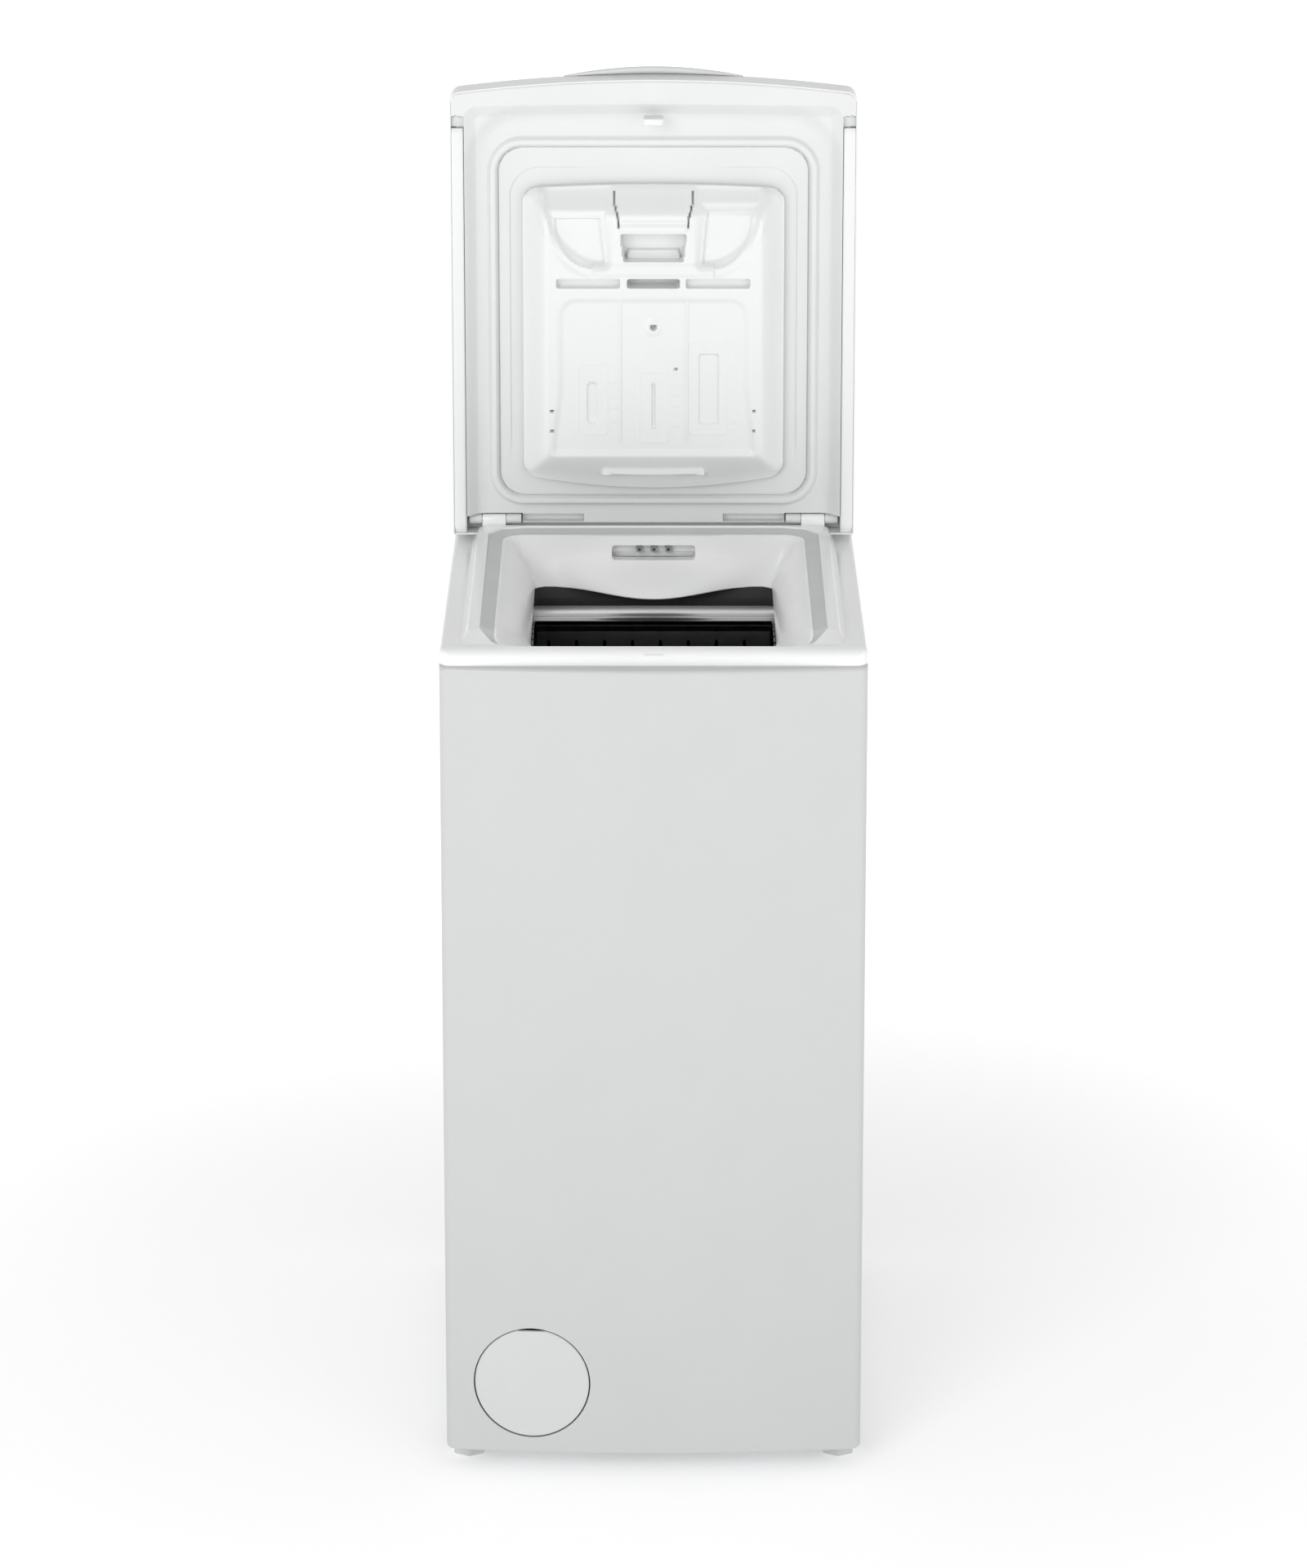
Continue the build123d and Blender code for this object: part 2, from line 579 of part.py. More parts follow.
gap = 0.1
half = HALF_WIDTH - LID_SKIN - gap
base = LID_BASE - WALL
LAND = [(394, base), (394, LID_BASE), (396, LID_BASE), (419, LID_RIM), (450, LID_RIM), (450, base)]
LAND_HOLLOW = [(400, base), (421, LID_RIM - WALL), (450, LID_RIM - WALL), (450, base)]

with BuildPart() as inside_of_lid:
    extrude(lid_outline(LID_BACK, inset=LID_SKIN + gap), amount=LID_RIM - LID_BACK)

with BuildPart() as front_channel:
    lid_across(LAND, (-half, half))
    lid_across(LAND_HOLLOW, (-half + WALL, half - WALL), mode=Mode.SUBTRACT)
    add(inside_of_lid.part, mode=Mode.INTERSECT)

with BuildPart() as lid_inner:
    wall_low = 5.5
    slot_low, slot_high = -2.0, 5.0
    lid_block((-STRIP_INNER, STRIP_INNER), (wall_low, 396), (base, LID_BASE))
    lid_block((-half, half), (wall_low, wall_low + WALL), (LID_ROOF, base))
    lid_block((-half, half), (LID_LOW + LID_SKIN + gap, wall_low + WALL), (LID_ROOF - WALL, LID_ROOF))
    mid = LID_KNUCKLES[0][0] - 1.0
    lid_block((-mid, mid), (-4.0, wall_low), (base, LID_BASE))
    lid_block((-mid, mid), (-4.0, -4.0 + WALL / 2), (LID_ROOF, base))
    add(front_channel.part)
    ridge_u = (RIDGE_LOW + RIDGE_HIGH) / 2
    with BuildSketch(LID.offset(LID_BASE)):
        with Locations((0, ridge_u)):
            RectangleRounded(2 * RIDGE_HALF + 3, RIDGE_HIGH - RIDGE_LOW + 3, RIDGE_R + 1.5)
            RectangleRounded(2 * RIDGE_HALF - 5, RIDGE_HIGH - RIDGE_LOW - 5, RIDGE_R - 2.5,
                             mode=Mode.SUBTRACT)
    extrude(amount=RIDGE_TOP - LID_BASE)
    for side in (-1, 1):
        slot = sorted((side * 69.0, side * (mid - 1)))
        lid_block(slot, (slot_low, slot_high), (base, LID_BASE), mode=Mode.SUBTRACT)
        for knuckle in LID_KNUCKLES:
            x = sorted(side * k for k in knuckle)
            along_x(x, HINGE_Y, HINGE_Z, HINGE_R)
            lid_block(x, (-HINGE_R, HINGE_R), (LID_ROOF, 0))
        for knuckle in LID_KNUCKLES:
            x = sorted(side * k for k in knuckle)
            along_x(x, HINGE_Y, HINGE_Z, PIN_R + RUNNING, mode=Mode.SUBTRACT)
        ear = sorted(side * e for e in EAR_X)
        lid_block(ear, (PIVOT_U - 6, PIVOT_U + 5), (LID_BASE, PIVOT_V))
        along_x(ear, HINGE_Y - PIVOT_V, HINGE_Z + PIVOT_U, 5.0)
        along_x(ear, HINGE_Y - PIVOT_V, HINGE_Z + PIVOT_U, PIN_R + RUNNING, mode=Mode.SUBTRACT)
save(lid_inner, "lid_inner")

with BuildPart() as lid_side_strips:
    for side in (-1, 1):
        x = sorted((side * (STRIP_INNER + gap), side * half))
        cavity = sorted((side * (STRIP_INNER + gap + WALL), side * (half - WALL)))
        lid_block(x, (LID_LOW + LID_SKIN + gap, STRIP_TOP - 4), (LID_BASE, LID_RIM))
        lid_block(cavity, (0, STRIP_TOP - 4 - WALL), (LID_BASE, LID_RIM - WALL), mode=Mode.SUBTRACT)
        lid_block(x, (8.0 + gap, STRIP_TOP - 4), (LID_BASE - WALL, LID_BASE))
        lid_block(cavity, (8.0 + WALL, STRIP_TOP - 4 - WALL), (LID_BASE - WALL, LID_BASE), mode=Mode.SUBTRACT)
    add(hinge_sweep.part, mode=Mode.SUBTRACT)
save(lid_side_strips, "lid_side_strips")

with BuildPart() as whole_lid:
    extrude(lid_outline(LID_BACK), amount=LID_RIM - LID_BACK)

with BuildPart() as lid_handle:
    handle_depth = 11.0
    with BuildSketch(LID.offset(LID_BACK)):
        with BuildLine():
            left, right = (-HANDLE_HALF, LID_TOP - 2.6), (HANDLE_HALF, LID_TOP - 2.6)
            ThreePointArc(left, (0, LID_HANDLE_TOP), right)
            Line(right, left)
        make_face()
    extrude(amount=handle_depth)
    add(whole_lid.part, mode=Mode.SUBTRACT)
save(lid_handle, "lid_handle")

with BuildPart() as lid_latch_hook:
    hook_half = 9.5
    lid_block((-hook_half, hook_half), (402.5, 409.5), (12.0, 38.0))
    lid_across([(402.5, 26.0), (405.5, 26.0), (405.5, 33.0), (402.5, 35.0)], (-hook_half, hook_half),
               mode=Mode.SUBTRACT)
    lid_across(LAND, (-half, half), mode=Mode.SUBTRACT)
save(lid_latch_hook, "lid_latch_hook")

with BuildPart() as hinge_pins:
    for side in (-1, 1):
        ends = sorted((side * (LID_KNUCKLES[0][0] + 1), side * (LID_KNUCKLES[1][1] - 1)))
        along_x(ends, HINGE_Y, HINGE_Z, PIN_R)
save(hinge_pins, "hinge_pins")

# ================================================================ dispenser
def tray_outline(v, shrink=0.0):
    """The dispenser's outline, with its bowed upper and lower edges."""
    with BuildSketch(LID.offset(v)) as outline:
        with BuildLine():
            x = TRAY_HALF - shrink
            low, high = TRAY_LOW + shrink, TRAY_HIGH - shrink
            ThreePointArc((-x, low), (0, TRAY_LOW_MIDDLE + shrink), (x, low))
            Line((x, low), (x, high))
            ThreePointArc((x, high), (0, TRAY_HIGH_MIDDLE - shrink), (-x, high))
            Line((-x, high), (-x, low))
        make_face()
    return outline.sketch


def face_outline(v, shrink=0.0):
    with BuildSketch(LID.offset(v)) as outline:
        with BuildLine():
            x = FACE_HALF - shrink
            low, high = FACE_LOW + shrink, FACE_HIGH - shrink
            ThreePointArc((-x, low), (0, low - 5), (x, low))
            Line((x, low), (x, high))
            ThreePointArc((x, high), (0, high + 4), (-x, high))
            Line((-x, high), (-x, low))
        make_face()
    return outline.sketch


LEVER_X = 37.0
LEVER_U = (304.0, 330.0)
with BuildPart() as dispenser_cover:
    loft([tray_outline(TRAY_FLANGE), face_outline(FACE)])
    loft([tray_outline(TRAY_FLANGE, shrink=WALL), face_outline(FACE - WALL, shrink=WALL)], mode=Mode.SUBTRACT)
    window_u = (262.0, 298.0)
    slot_u = (242.0, 251.0)
    for x0, x1 in ((-97.0, -48.0), (48.0, 97.0)):
        lid_block((x0, x1), window_u, (FACE - 4 * WALL, FACE + 1), mode=Mode.SUBTRACT)
    lid_block((-31.0, 31.0), (272.0, window_u[1]), (FACE - 4 * WALL, FACE + 1), mode=Mode.SUBTRACT)
    for x0, x1 in ((-95.6, -32.8), (-26.0, 25.8), (31.7, 95.0)):
        lid_block((x0, x1), slot_u, (FACE - 2 * WALL, FACE + 1), mode=Mode.SUBTRACT)
    lid_block((-LEVER_X - 0.7, LEVER_X + 0.7), (LEVER_U[0] - 1, LEVER_U[1] + 1), (TRAY_FLANGE + 4, FACE + 1),
              mode=Mode.SUBTRACT)
save(dispenser_cover, "dispenser_cover")

with BuildPart() as dispenser_tray:
    extrude(tray_outline(TRAY_FLOOR), amount=TRAY_FLANGE - TRAY_FLOOR)
    extrude(tray_outline(TRAY_FLOOR + 2, shrink=WALL), amount=TRAY_FLANGE - TRAY_FLOOR, mode=Mode.SUBTRACT)
    lid_block((-HALF_WIDTH, HALF_WIDTH), (0, PIVOT_U - 1), (0, TRAY_FLANGE), mode=Mode.SUBTRACT)
    lid_block((-TRAY_HALF, TRAY_HALF), (PIVOT_U - 1, PIVOT_U + 1.5), (TRAY_FLOOR, TRAY_FLANGE))
    for x in (-33.0, 33.0):
        lid_block((x - 1, x + 1), (PIVOT_U, TRAY_HIGH - 1), (TRAY_FLOOR, TRAY_FLANGE))
        lid_block((x - 1, x + 1), (FACE_LOW + 15, slot_u[0] - 5), (TRAY_FLANGE, FACE - WALL - 0.5))
    for side in (-1, 1):
        notch = sorted((side * (EAR_X[0] - 0.4), side * (EAR_X[1] + 0.4)))
        lid_block(notch, (0, PIVOT_U + 9), (0, TRAY_FLANGE), mode=Mode.SUBTRACT)
        pin = sorted((side * (EAR_X[0] - 3), side * EAR_X[1]))
        along_x(pin, HINGE_Y - PIVOT_V, HINGE_Z + PIVOT_U, PIN_R)
save(dispenser_tray, "dispenser_tray")

def on_slope(u, depth=0.0):
    """A point on the dispenser's upper slope, in the lid's plane."""
    slope = (TRAY_FLANGE - FACE) / (TRAY_HIGH_MIDDLE - FACE_HIGH - 4)
    return u, FACE + slope * (u - FACE_HIGH - 4) - depth


with BuildPart() as dispenser_lever:
    lid_across([on_slope(LEVER_U[0]), on_slope(LEVER_U[1]), on_slope(LEVER_U[1], 3), on_slope(LEVER_U[0], 3)],
               (-LEVER_X, LEVER_X))
save(dispenser_lever, "dispenser_lever")

# ================================================================ control housing
def console_disc(x, radius, low, high, mode=Mode.ADD):
    """A round piece standing square on the sloping console."""
    with BuildSketch(CONSOLE.offset(low)) as section:
        with Locations((x, 0)):
            Circle(radius)
    extrude(section.sketch, amount=high - low, mode=mode)


with BuildPart() as control_panel:
    crown = 4.0
    outer_line = [(CONSOLE_FRONT_Y, SEAM_Z), (CONSOLE_FRONT_Y, CONSOLE_EDGE_Z), (CONSOLE_TOP_Y, MACHINE_TOP),
                  (CONSOLE_REAR_Y - crown, MACHINE_TOP), (CONSOLE_REAR_Y, MACHINE_TOP - crown),
                  (CONSOLE_REAR_Y, SEAM_Z)]
    inner_line = [(CONSOLE_FRONT_Y + WALL, SEAM_Z), (CONSOLE_FRONT_Y + WALL, CONSOLE_EDGE_Z - 1.5),
                  (CONSOLE_TOP_Y + 0.6, MACHINE_TOP - WALL), (CONSOLE_REAR_Y - WALL, MACHINE_TOP - WALL),
                  (CONSOLE_REAR_Y - WALL, SEAM_Z)]
    across(outer_line, HALF_WIDTH)
    fillet(control_panel.edges().filter_by(Axis.X).group_by(Axis.Z)[-1], 2.0)
    across(inner_line, HALF_WIDTH - WALL, mode=Mode.SUBTRACT)
    console_disc(DIAL_X, DIAL_SHAFT_R + RUNNING, -4 * WALL, WALL, mode=Mode.SUBTRACT)
    for x in (START_X, *OPTIONS_X):
        console_disc(x, BUTTON_R + RUNNING, -4 * WALL, WALL, mode=Mode.SUBTRACT)
    with BuildSketch(CONSOLE.offset(-4 * WALL)):
        with Locations(((DISPLAY_X[0] + DISPLAY_X[1]) / 2, 0)):
            Rectangle(DISPLAY_X[1] - DISPLAY_X[0], 18)
    extrude(amount=5 * WALL, mode=Mode.SUBTRACT)
save(control_panel, "control_panel")

with BuildPart() as display_window:
    with BuildSketch(CONSOLE.offset(-WALL)):
        with Locations(((DISPLAY_X[0] + DISPLAY_X[1]) / 2, 0)):
            Rectangle(DISPLAY_X[1] - DISPLAY_X[0], 18)
    extrude(amount=WALL - 0.3)
save(display_window, "display_window")

with BuildPart() as program_knob:
    console_disc(DIAL_X, DIAL_R, 0.6, 15.0)
    chamfer(program_knob.faces().sort_by(Axis.Z)[-1].edges(), 2.0)
    console_disc(DIAL_X, DIAL_SHAFT_R, -12.0, 0.6)
save(program_knob, "program_knob")

for x, name in ((START_X, "start_button"), (OPTIONS_X[0], "spin_button"),
                (OPTIONS_X[1], "temperature_button")):
    with BuildPart() as button:
        console_disc(x, BUTTON_R, -WALL - 0.2, 3.0)
        chamfer(button.faces().sort_by(Axis.Z)[-1].edges(), 0.8)
        console_disc(x, BUTTON_R + 2, -WALL - 1.4, -WALL - 0.2)
    save(button, name)

# ================================================================ services at the back
INLET = (150.0, 760.0)
DRAIN = (-150.0, 735.0)
MAINS = (-150.0, 110.0)
with BuildPart() as inlet_valve:
    spigot_r = 13.2
    block((128.0, 172.0), (225.0, 275.0), (738.0, 782.0))
    along_y(INLET[0], (275.0, BACK_Y), INLET[1], spigot_r)
    along_y(INLET[0], (275.0, REAR_FLANGE_Y - SHEET), INLET[1], 17.0)
    along_y(INLET[0], (280.0, BACK_Y), INLET[1], 9.0, mode=Mode.SUBTRACT)
save(inlet_valve, "inlet_valve")

with BuildPart() as drain_spigot:
    spigot_r = 10.5
    along_y(DRAIN[0], (REAR_FLANGE_Y - SHEET - 4, REAR_FLANGE_Y - SHEET), DRAIN[1], 17.0)
    along_y(DRAIN[0], (REAR_FLANGE_Y - SHEET, BACK_Y), DRAIN[1], spigot_r)
    along_y(DRAIN[0], (REAR_FLANGE_Y - SHEET - 4, BACK_Y), DRAIN[1], 7.5, mode=Mode.SUBTRACT)
save(drain_spigot, "drain_spigot")

with BuildPart() as mains_gland:
    along_y(MAINS[0], (REAR_FLANGE_Y - SHEET - 6, REAR_FLANGE_Y - SHEET), MAINS[1], 10.0)
    along_y(MAINS[0], (REAR_FLANGE_Y - SHEET, REAR_FLANGE_Y + 5), MAINS[1], 8.0)
    along_y(MAINS[0], (REAR_FLANGE_Y - SHEET - 6, REAR_FLANGE_Y + 5), MAINS[1], 4.0, mode=Mode.SUBTRACT)
save(mains_gland, "mains_gland")

# ================================================================ drain pump
PUMP_OUT = 34.0
PUMP_BORE = 28.0
with BuildPart() as drain_pump:
    leg = 10.0
    along_y(FILTER_X, (-278.0, -80.0), FILTER_Z, PUMP_OUT)
    along_y(FILTER_X, (-80.0, -30.0), FILTER_Z, 26.0)
    for y in (-200.0, -90.0):
        block((FILTER_X - 2 * leg, FILTER_X + 2 * leg), (y - leg, y + leg), (BASE_Z + WALL, FILTER_Z - leg))
    along_z(FILTER_X, SUMP_Y, (FILTER_Z, 140.0), 20.0)
    along_z(FILTER_X, SUMP_Y, (FILTER_Z, 140.0), 16.0, mode=Mode.SUBTRACT)
    along_y(FILTER_X, (-278.0, -86.0), FILTER_Z, PUMP_BORE, mode=Mode.SUBTRACT)
save(drain_pump, "drain_pump")

with BuildPart() as pump_filter:
    cap_y = (-284.0, -278.3)
    along_y(FILTER_X, cap_y, FILTER_Z, PUMP_OUT - 1)
    block((FILTER_X - 22, FILTER_X + 22), (cap_y[0] - 4.0, cap_y[0]), (FILTER_Z - 3, FILTER_Z + 3))
    along_y(FILTER_X, (cap_y[1], -262.0), FILTER_Z, PUMP_BORE - RUNNING)
    along_y(FILTER_X, (-262.0, -215.0), FILTER_Z, 22.0)
    along_y(FILTER_X, (-260.0, -215.0), FILTER_Z, 20.0, mode=Mode.SUBTRACT)
    for z in (-14.0, 0.0, 14.0):
        block((FILTER_X - 30, FILTER_X + 30), (-250.0, -222.0), (FILTER_Z + z - 3, FILTER_Z + z + 3),
              mode=Mode.SUBTRACT)
save(pump_filter, "pump_filter")

with BuildPart() as sump_hose:
    low_z, high_z = 140.0, 276.0
    along_z(FILTER_X, SUMP_Y, (low_z, high_z), 19.0)
    for i in range(5):
        z = low_z + 14 + 24 * i
        along_z(FILTER_X, SUMP_Y, (z, z + 12), 23.0)
    along_z(FILTER_X, SUMP_Y, (low_z, high_z), 16.0, mode=Mode.SUBTRACT)
save(sump_hose, "sump_hose")

# ================================================================ tub
side_x = NECK_HALF_X
neck_y = NECK_HALF_Y
neck_wall = 3.0
with BuildPart() as cheeks:
    for side in (-1, 1):
        cheek_x = sorted((side * (side_x - neck_wall), side * (side_x + 1)))
        block(cheek_x, (-neck_y, neck_y), (NECK_TOP - neck_wall, HINGE_Z))
    along_x((-TUB_HALF, TUB_HALF), 0, AXIS_Z, TUB_R, mode=Mode.INTERSECT)

with BuildPart() as tub_shell:
    lug_y = 26.0
    along_x((-TUB_HALF, TUB_HALF), 0, AXIS_Z, TUB_R)
    along_z(FILTER_X, SUMP_Y, (276.0, 330.0), 20.0)
    for x0, x1 in ((10.0, 18.0), (120.0, 128.0)):
        with BuildSketch(Plane.YZ.offset(x0)):
            with BuildLine():
                Polyline((MOTOR_Y - lug_y, MOTOR_Z + 66), (MOTOR_Y + lug_y, MOTOR_Z + 66), (150.0, 330.0),
                         (10.0, 290.0), close=True)
            make_face()
        extrude(amount=x1 - x0)
    along_x((-TUB_HALF, TUB_HALF), 0, AXIS_Z, TUB_R - TUB_WALL, mode=Mode.SUBTRACT)
    along_z(FILTER_X, SUMP_Y, (270.0, 330.0), 16.0, mode=Mode.SUBTRACT)
    block((-side_x, side_x), (-neck_y, neck_y), (AXIS_Z, HINGE_Z), mode=Mode.SUBTRACT)
    block((-side_x, side_x), (-neck_y, neck_y), (NECK_LOW, NECK_TOP))
    block((-side_x, side_x), (-neck_y + neck_wall, neck_y - neck_wall), (NECK_LOW, NECK_TOP - neck_wall),
          mode=Mode.SUBTRACT)
    block((-120.0, 120.0), (-neck_y + neck_wall, neck_y - neck_wall), (NECK_LOW, HINGE_Z), mode=Mode.SUBTRACT)
    add(cheeks.part)
save(tub_shell, "tub_shell")

for side, name in ((-1, "tub_left_end"), (1, "tub_right_end")):
    with BuildPart() as tub_end:
        plate = sorted((side * TUB_HALF, side * (TUB_HALF + END_WALL)))
        hub = sorted((side * TUB_HALF, side * HUB_OUT))
        along_x(plate, 0, AXIS_Z, TUB_R)
        rib_x = sorted((side * (TUB_HALF + END_WALL), side * (TUB_HALF + END_WALL + 4)))
        for i in range(8):
            with BuildSketch(Plane.YZ.offset(rib_x[0])):
                with Locations(Location((0, AXIS_Z), i * 45.0)):
                    with Locations((125.0, 0)):
                        Rectangle(200.0, 6.0)
            extrude(amount=rib_x[1] - rib_x[0])
        along_x(hub, 0, AXIS_Z, HUB_R)
        along_x(sorted((0, side * HALF_WIDTH)), 0, AXIS_Z, BEARING_R, mode=Mode.SUBTRACT)
        lug_x = sorted((side * (TUB_HALF + END_WALL - 1), side * (SPRING_X + 11)))
        for y in (-SPRING_Y, SPRING_Y):
            block(lug_x, (y - 12, y + 12), (SPRING_Z[0] - 6, SPRING_Z[0]))
        if side < 0:
            block(plate, (-28.0, 28.0), (HEATER_Z - 9, HEATER_Z + 9), mode=Mode.SUBTRACT)
    save(tub_end, name)

with BuildPart() as tub_bearings:
    for side in (-1, 1):
        x = sorted((side * (TUB_HALF + 2), side * (HUB_OUT - 2)))
        along_x(x, 0, AXIS_Z, BEARING_R)
    along_x((-HALF_WIDTH, HALF_WIDTH), 0, AXIS_Z, SHAFT_R + RUNNING, mode=Mode.SUBTRACT)
save(tub_bearings, "tub_bearings")

with BuildPart() as counterweights:
    clear = 0.3
    for end in (-1, 1):
        y = sorted((end * 262.0, end * 172.0))
        block((-110.0, 110.0), y, (290.0, 392.0))
    along_x((-HALF_WIDTH, HALF_WIDTH), 0, AXIS_Z, TUB_R + clear, mode=Mode.SUBTRACT)
save(counterweights, "counterweights")

with BuildPart() as motor:
    along_x(MOTOR_X, MOTOR_Y, MOTOR_Z, MOTOR_R)
    along_x((MOTOR_X[0] + 12, MOTOR_X[1] - 12), MOTOR_Y, MOTOR_Z, MOTOR_R - 6, mode=Mode.ADD)
    for x0, x1 in ((-4.0, 10.0), (128.0, 142.0)):
        block((x0, x1), (MOTOR_Y - lug_y, MOTOR_Y + lug_y), (MOTOR_Z + 40, MOTOR_Z + 84))
    along_x((MOTOR_X[1] - 20, HALF_WIDTH), MOTOR_Y, MOTOR_Z, 6.0 + RUNNING, mode=Mode.SUBTRACT)
    for x0, x1 in ((10.0, 18.0), (120.0, 128.0)):
        block((x0, x1), (MOTOR_Y - 2 * lug_y, MOTOR_Y + 2 * lug_y), (MOTOR_Z + 40, MOTOR_Z + 90),
              mode=Mode.SUBTRACT)
save(motor, "motor")

with BuildPart() as motor_pulley:
    along_x((MOTOR_X[1] - 18, 182.0), MOTOR_Y, MOTOR_Z, 6.0)
    along_x((PULLEY_X[0] + 2, PULLEY_X[1] - 2), MOTOR_Y, MOTOR_Z, MOTOR_PULLEY_R)
    for x0, x1 in ((PULLEY_X[0], PULLEY_X[0] + 2), (PULLEY_X[1] - 2, PULLEY_X[1])):
        along_x((x0, x1), MOTOR_Y, MOTOR_Z, MOTOR_PULLEY_R + 5)
save(motor_pulley, "motor_pulley")

def belt_loop(extra):
    """The outline around both pulleys, extra outside their running surfaces."""
    big, small = PULLEY_R + extra, MOTOR_PULLEY_R + extra
    dy, dz = MOTOR_Y, MOTOR_Z - AXIS_Z
    distance = math.hypot(dy, dz)
    along = math.atan2(dz, dy)
    lean = math.acos((big - small) / distance)
    ends = []
    for sign in (1, -1):
        angle = along + sign * lean
        cy, cz = math.cos(angle), math.sin(angle)
        ends.append(((big * cy, AXIS_Z + big * cz), (MOTOR_Y + small * cy, MOTOR_Z + small * cz)))
    far_big = (-big * math.cos(along), AXIS_Z - big * math.sin(along))
    far_small = (MOTOR_Y + small * math.cos(along), MOTOR_Z + small * math.sin(along))
    with BuildSketch(Plane.YZ.offset(PULLEY_X[0] + 2.5)) as loop:
        with BuildLine():
            Line(ends[0][0], ends[0][1])
            ThreePointArc(ends[0][1], far_small, ends[1][1])
            Line(ends[1][1], ends[1][0])
            ThreePointArc(ends[1][0], far_big, ends[0][0])
        make_face()
    return loop.sketch


with BuildPart() as drive_belt:
    belt_clear = 0.35
    belt_width = PULLEY_X[1] - PULLEY_X[0] - 5
    extrude(belt_loop(belt_clear + BELT), amount=belt_width)
    extrude(belt_loop(belt_clear), amount=belt_width, mode=Mode.SUBTRACT)
save(drive_belt, "drive_belt")

with BuildPart() as heating_element:
    spacing = 18.0
    bend_x = 95.0
    with BuildSketch(Plane.YZ.offset(-TUB_HALF)):
        with Locations((-spacing, HEATER_Z), (spacing, HEATER_Z)):
            Circle(HEATER_R)
    extrude(amount=TUB_HALF + bend_x)
    with BuildSketch(Plane.YZ.offset(bend_x)):
        with Locations((spacing, HEATER_Z)):
            Circle(HEATER_R)
    revolve(axis=Axis((bend_x, 0, HEATER_Z), (0, 0, 1)), revolution_arc=-180)
    block((-TUB_HALF - END_WALL, -TUB_HALF), (-28.0, 28.0), (HEATER_Z - 9, HEATER_Z + 9))
    for y in (-spacing, 0.0, spacing):
        block((-TUB_HALF - END_WALL - 12, -TUB_HALF - END_WALL), (y - 3, y + 3),
              (HEATER_Z - 0.5, HEATER_Z + 0.5))
save(heating_element, "heating_element")

with BuildPart() as damper_cylinders:
    rod_r = 5.0
    for x, y in DAMPERS:
        along_z(x, y, (120.0, 330.0), 12.0)
    along_x((-HALF_WIDTH, HALF_WIDTH), 0, AXIS_Z, TUB_R, mode=Mode.SUBTRACT)
    for x, y in DAMPERS:
        along_z(x, y, (120.0, 132.0), rod_r + RUNNING, mode=Mode.SUBTRACT)
        along_z(x, y, (132.0, 290.0), 9.0, mode=Mode.SUBTRACT)
save(damper_cylinders, "damper_cylinders")

with BuildPart() as damper_rods:
    for x, y in DAMPERS:
        along_z(x, y, (BASE_TOP, 212.0), rod_r)
        along_z(x, y, (200.0, 212.0), 8.6)
save(damper_rods, "damper_rods")

with BuildPart() as tub_springs:
    wire_r = 1.7
    coil_r = 9.0
    rise = SPRING_Z[1] - SPRING_Z[0] - 2 * wire_r - 0.2
    for x in (-SPRING_X, SPRING_X):
        for y in (-SPRING_Y, SPRING_Y):
            with BuildLine() as coil:
                Helix(pitch=rise / 10, height=rise, radius=coil_r, center=(x, y, SPRING_Z[0] + wire_r + 0.1))
            with BuildSketch(Plane(origin=coil.line @ 0, z_dir=coil.line % 0)):
                Circle(wire_r)
            sweep(path=coil.line)
save(tub_springs, "tub_springs")

# ================================================================ drum
with BuildPart() as drum_shell:
    along_x((-DRUM_HALF, DRUM_HALF), 0, AXIS_Z, DRUM_R)
    along_x((-DRUM_HALF, DRUM_HALF), 0, AXIS_Z, DRUM_R - DRUM_SHEET, mode=Mode.SUBTRACT)
    door_y = DRUM_R * math.sin(math.radians(DOOR_ANGLE))
    block((-DOOR_HALF - 1, DOOR_HALF + 1), (-door_y, door_y), (AXIS_Z, HINGE_Z), mode=Mode.SUBTRACT)
save(drum_shell, "drum_shell")

with BuildPart() as drum_ends:
    for side in (-1, 1):
        disc_x = sorted((side * DRUM_HALF, side * (DRUM_HALF + 2)))
        along_x(disc_x, 0, AXIS_Z, DRUM_R)
        boss_x = sorted((side * (DRUM_HALF + 2), side * (TUB_HALF - 2)))
        along_x(boss_x, 0, AXIS_Z, 30.0)
        shaft_end = PULLEY_X[1] + 2 if side > 0 else HUB_OUT
        along_x(sorted((side * (TUB_HALF - 2), side * shaft_end)), 0, AXIS_Z, SHAFT_R)
        for i in range(3):
            with BuildSketch(Plane.YZ.offset(boss_x[0])):
                with Locations(Location((0, AXIS_Z), 90.0 + i * 120.0)):
                    with Locations((115.0, 0)):
                        Rectangle(220.0, 26.0)
            extrude(amount=boss_x[1] - boss_x[0] - 4)
save(drum_ends, "drum_ends")

with BuildPart() as drum_lifters:
    foot = 27.0
    tip = 9.0
    high = 190.0
    low_r = 232.5
    for angle in (-30.0, 210.0):
        with BuildSketch(Plane.YZ.offset(-DRUM_HALF + 2)):
            with Locations(Location((0, AXIS_Z), angle)):
                Polygon((low_r, -foot), (high, -tip), (high, tip), (low_r, foot), align=None)
        extrude(amount=2 * (DRUM_HALF - 2))
save(drum_lifters, "drum_lifters")

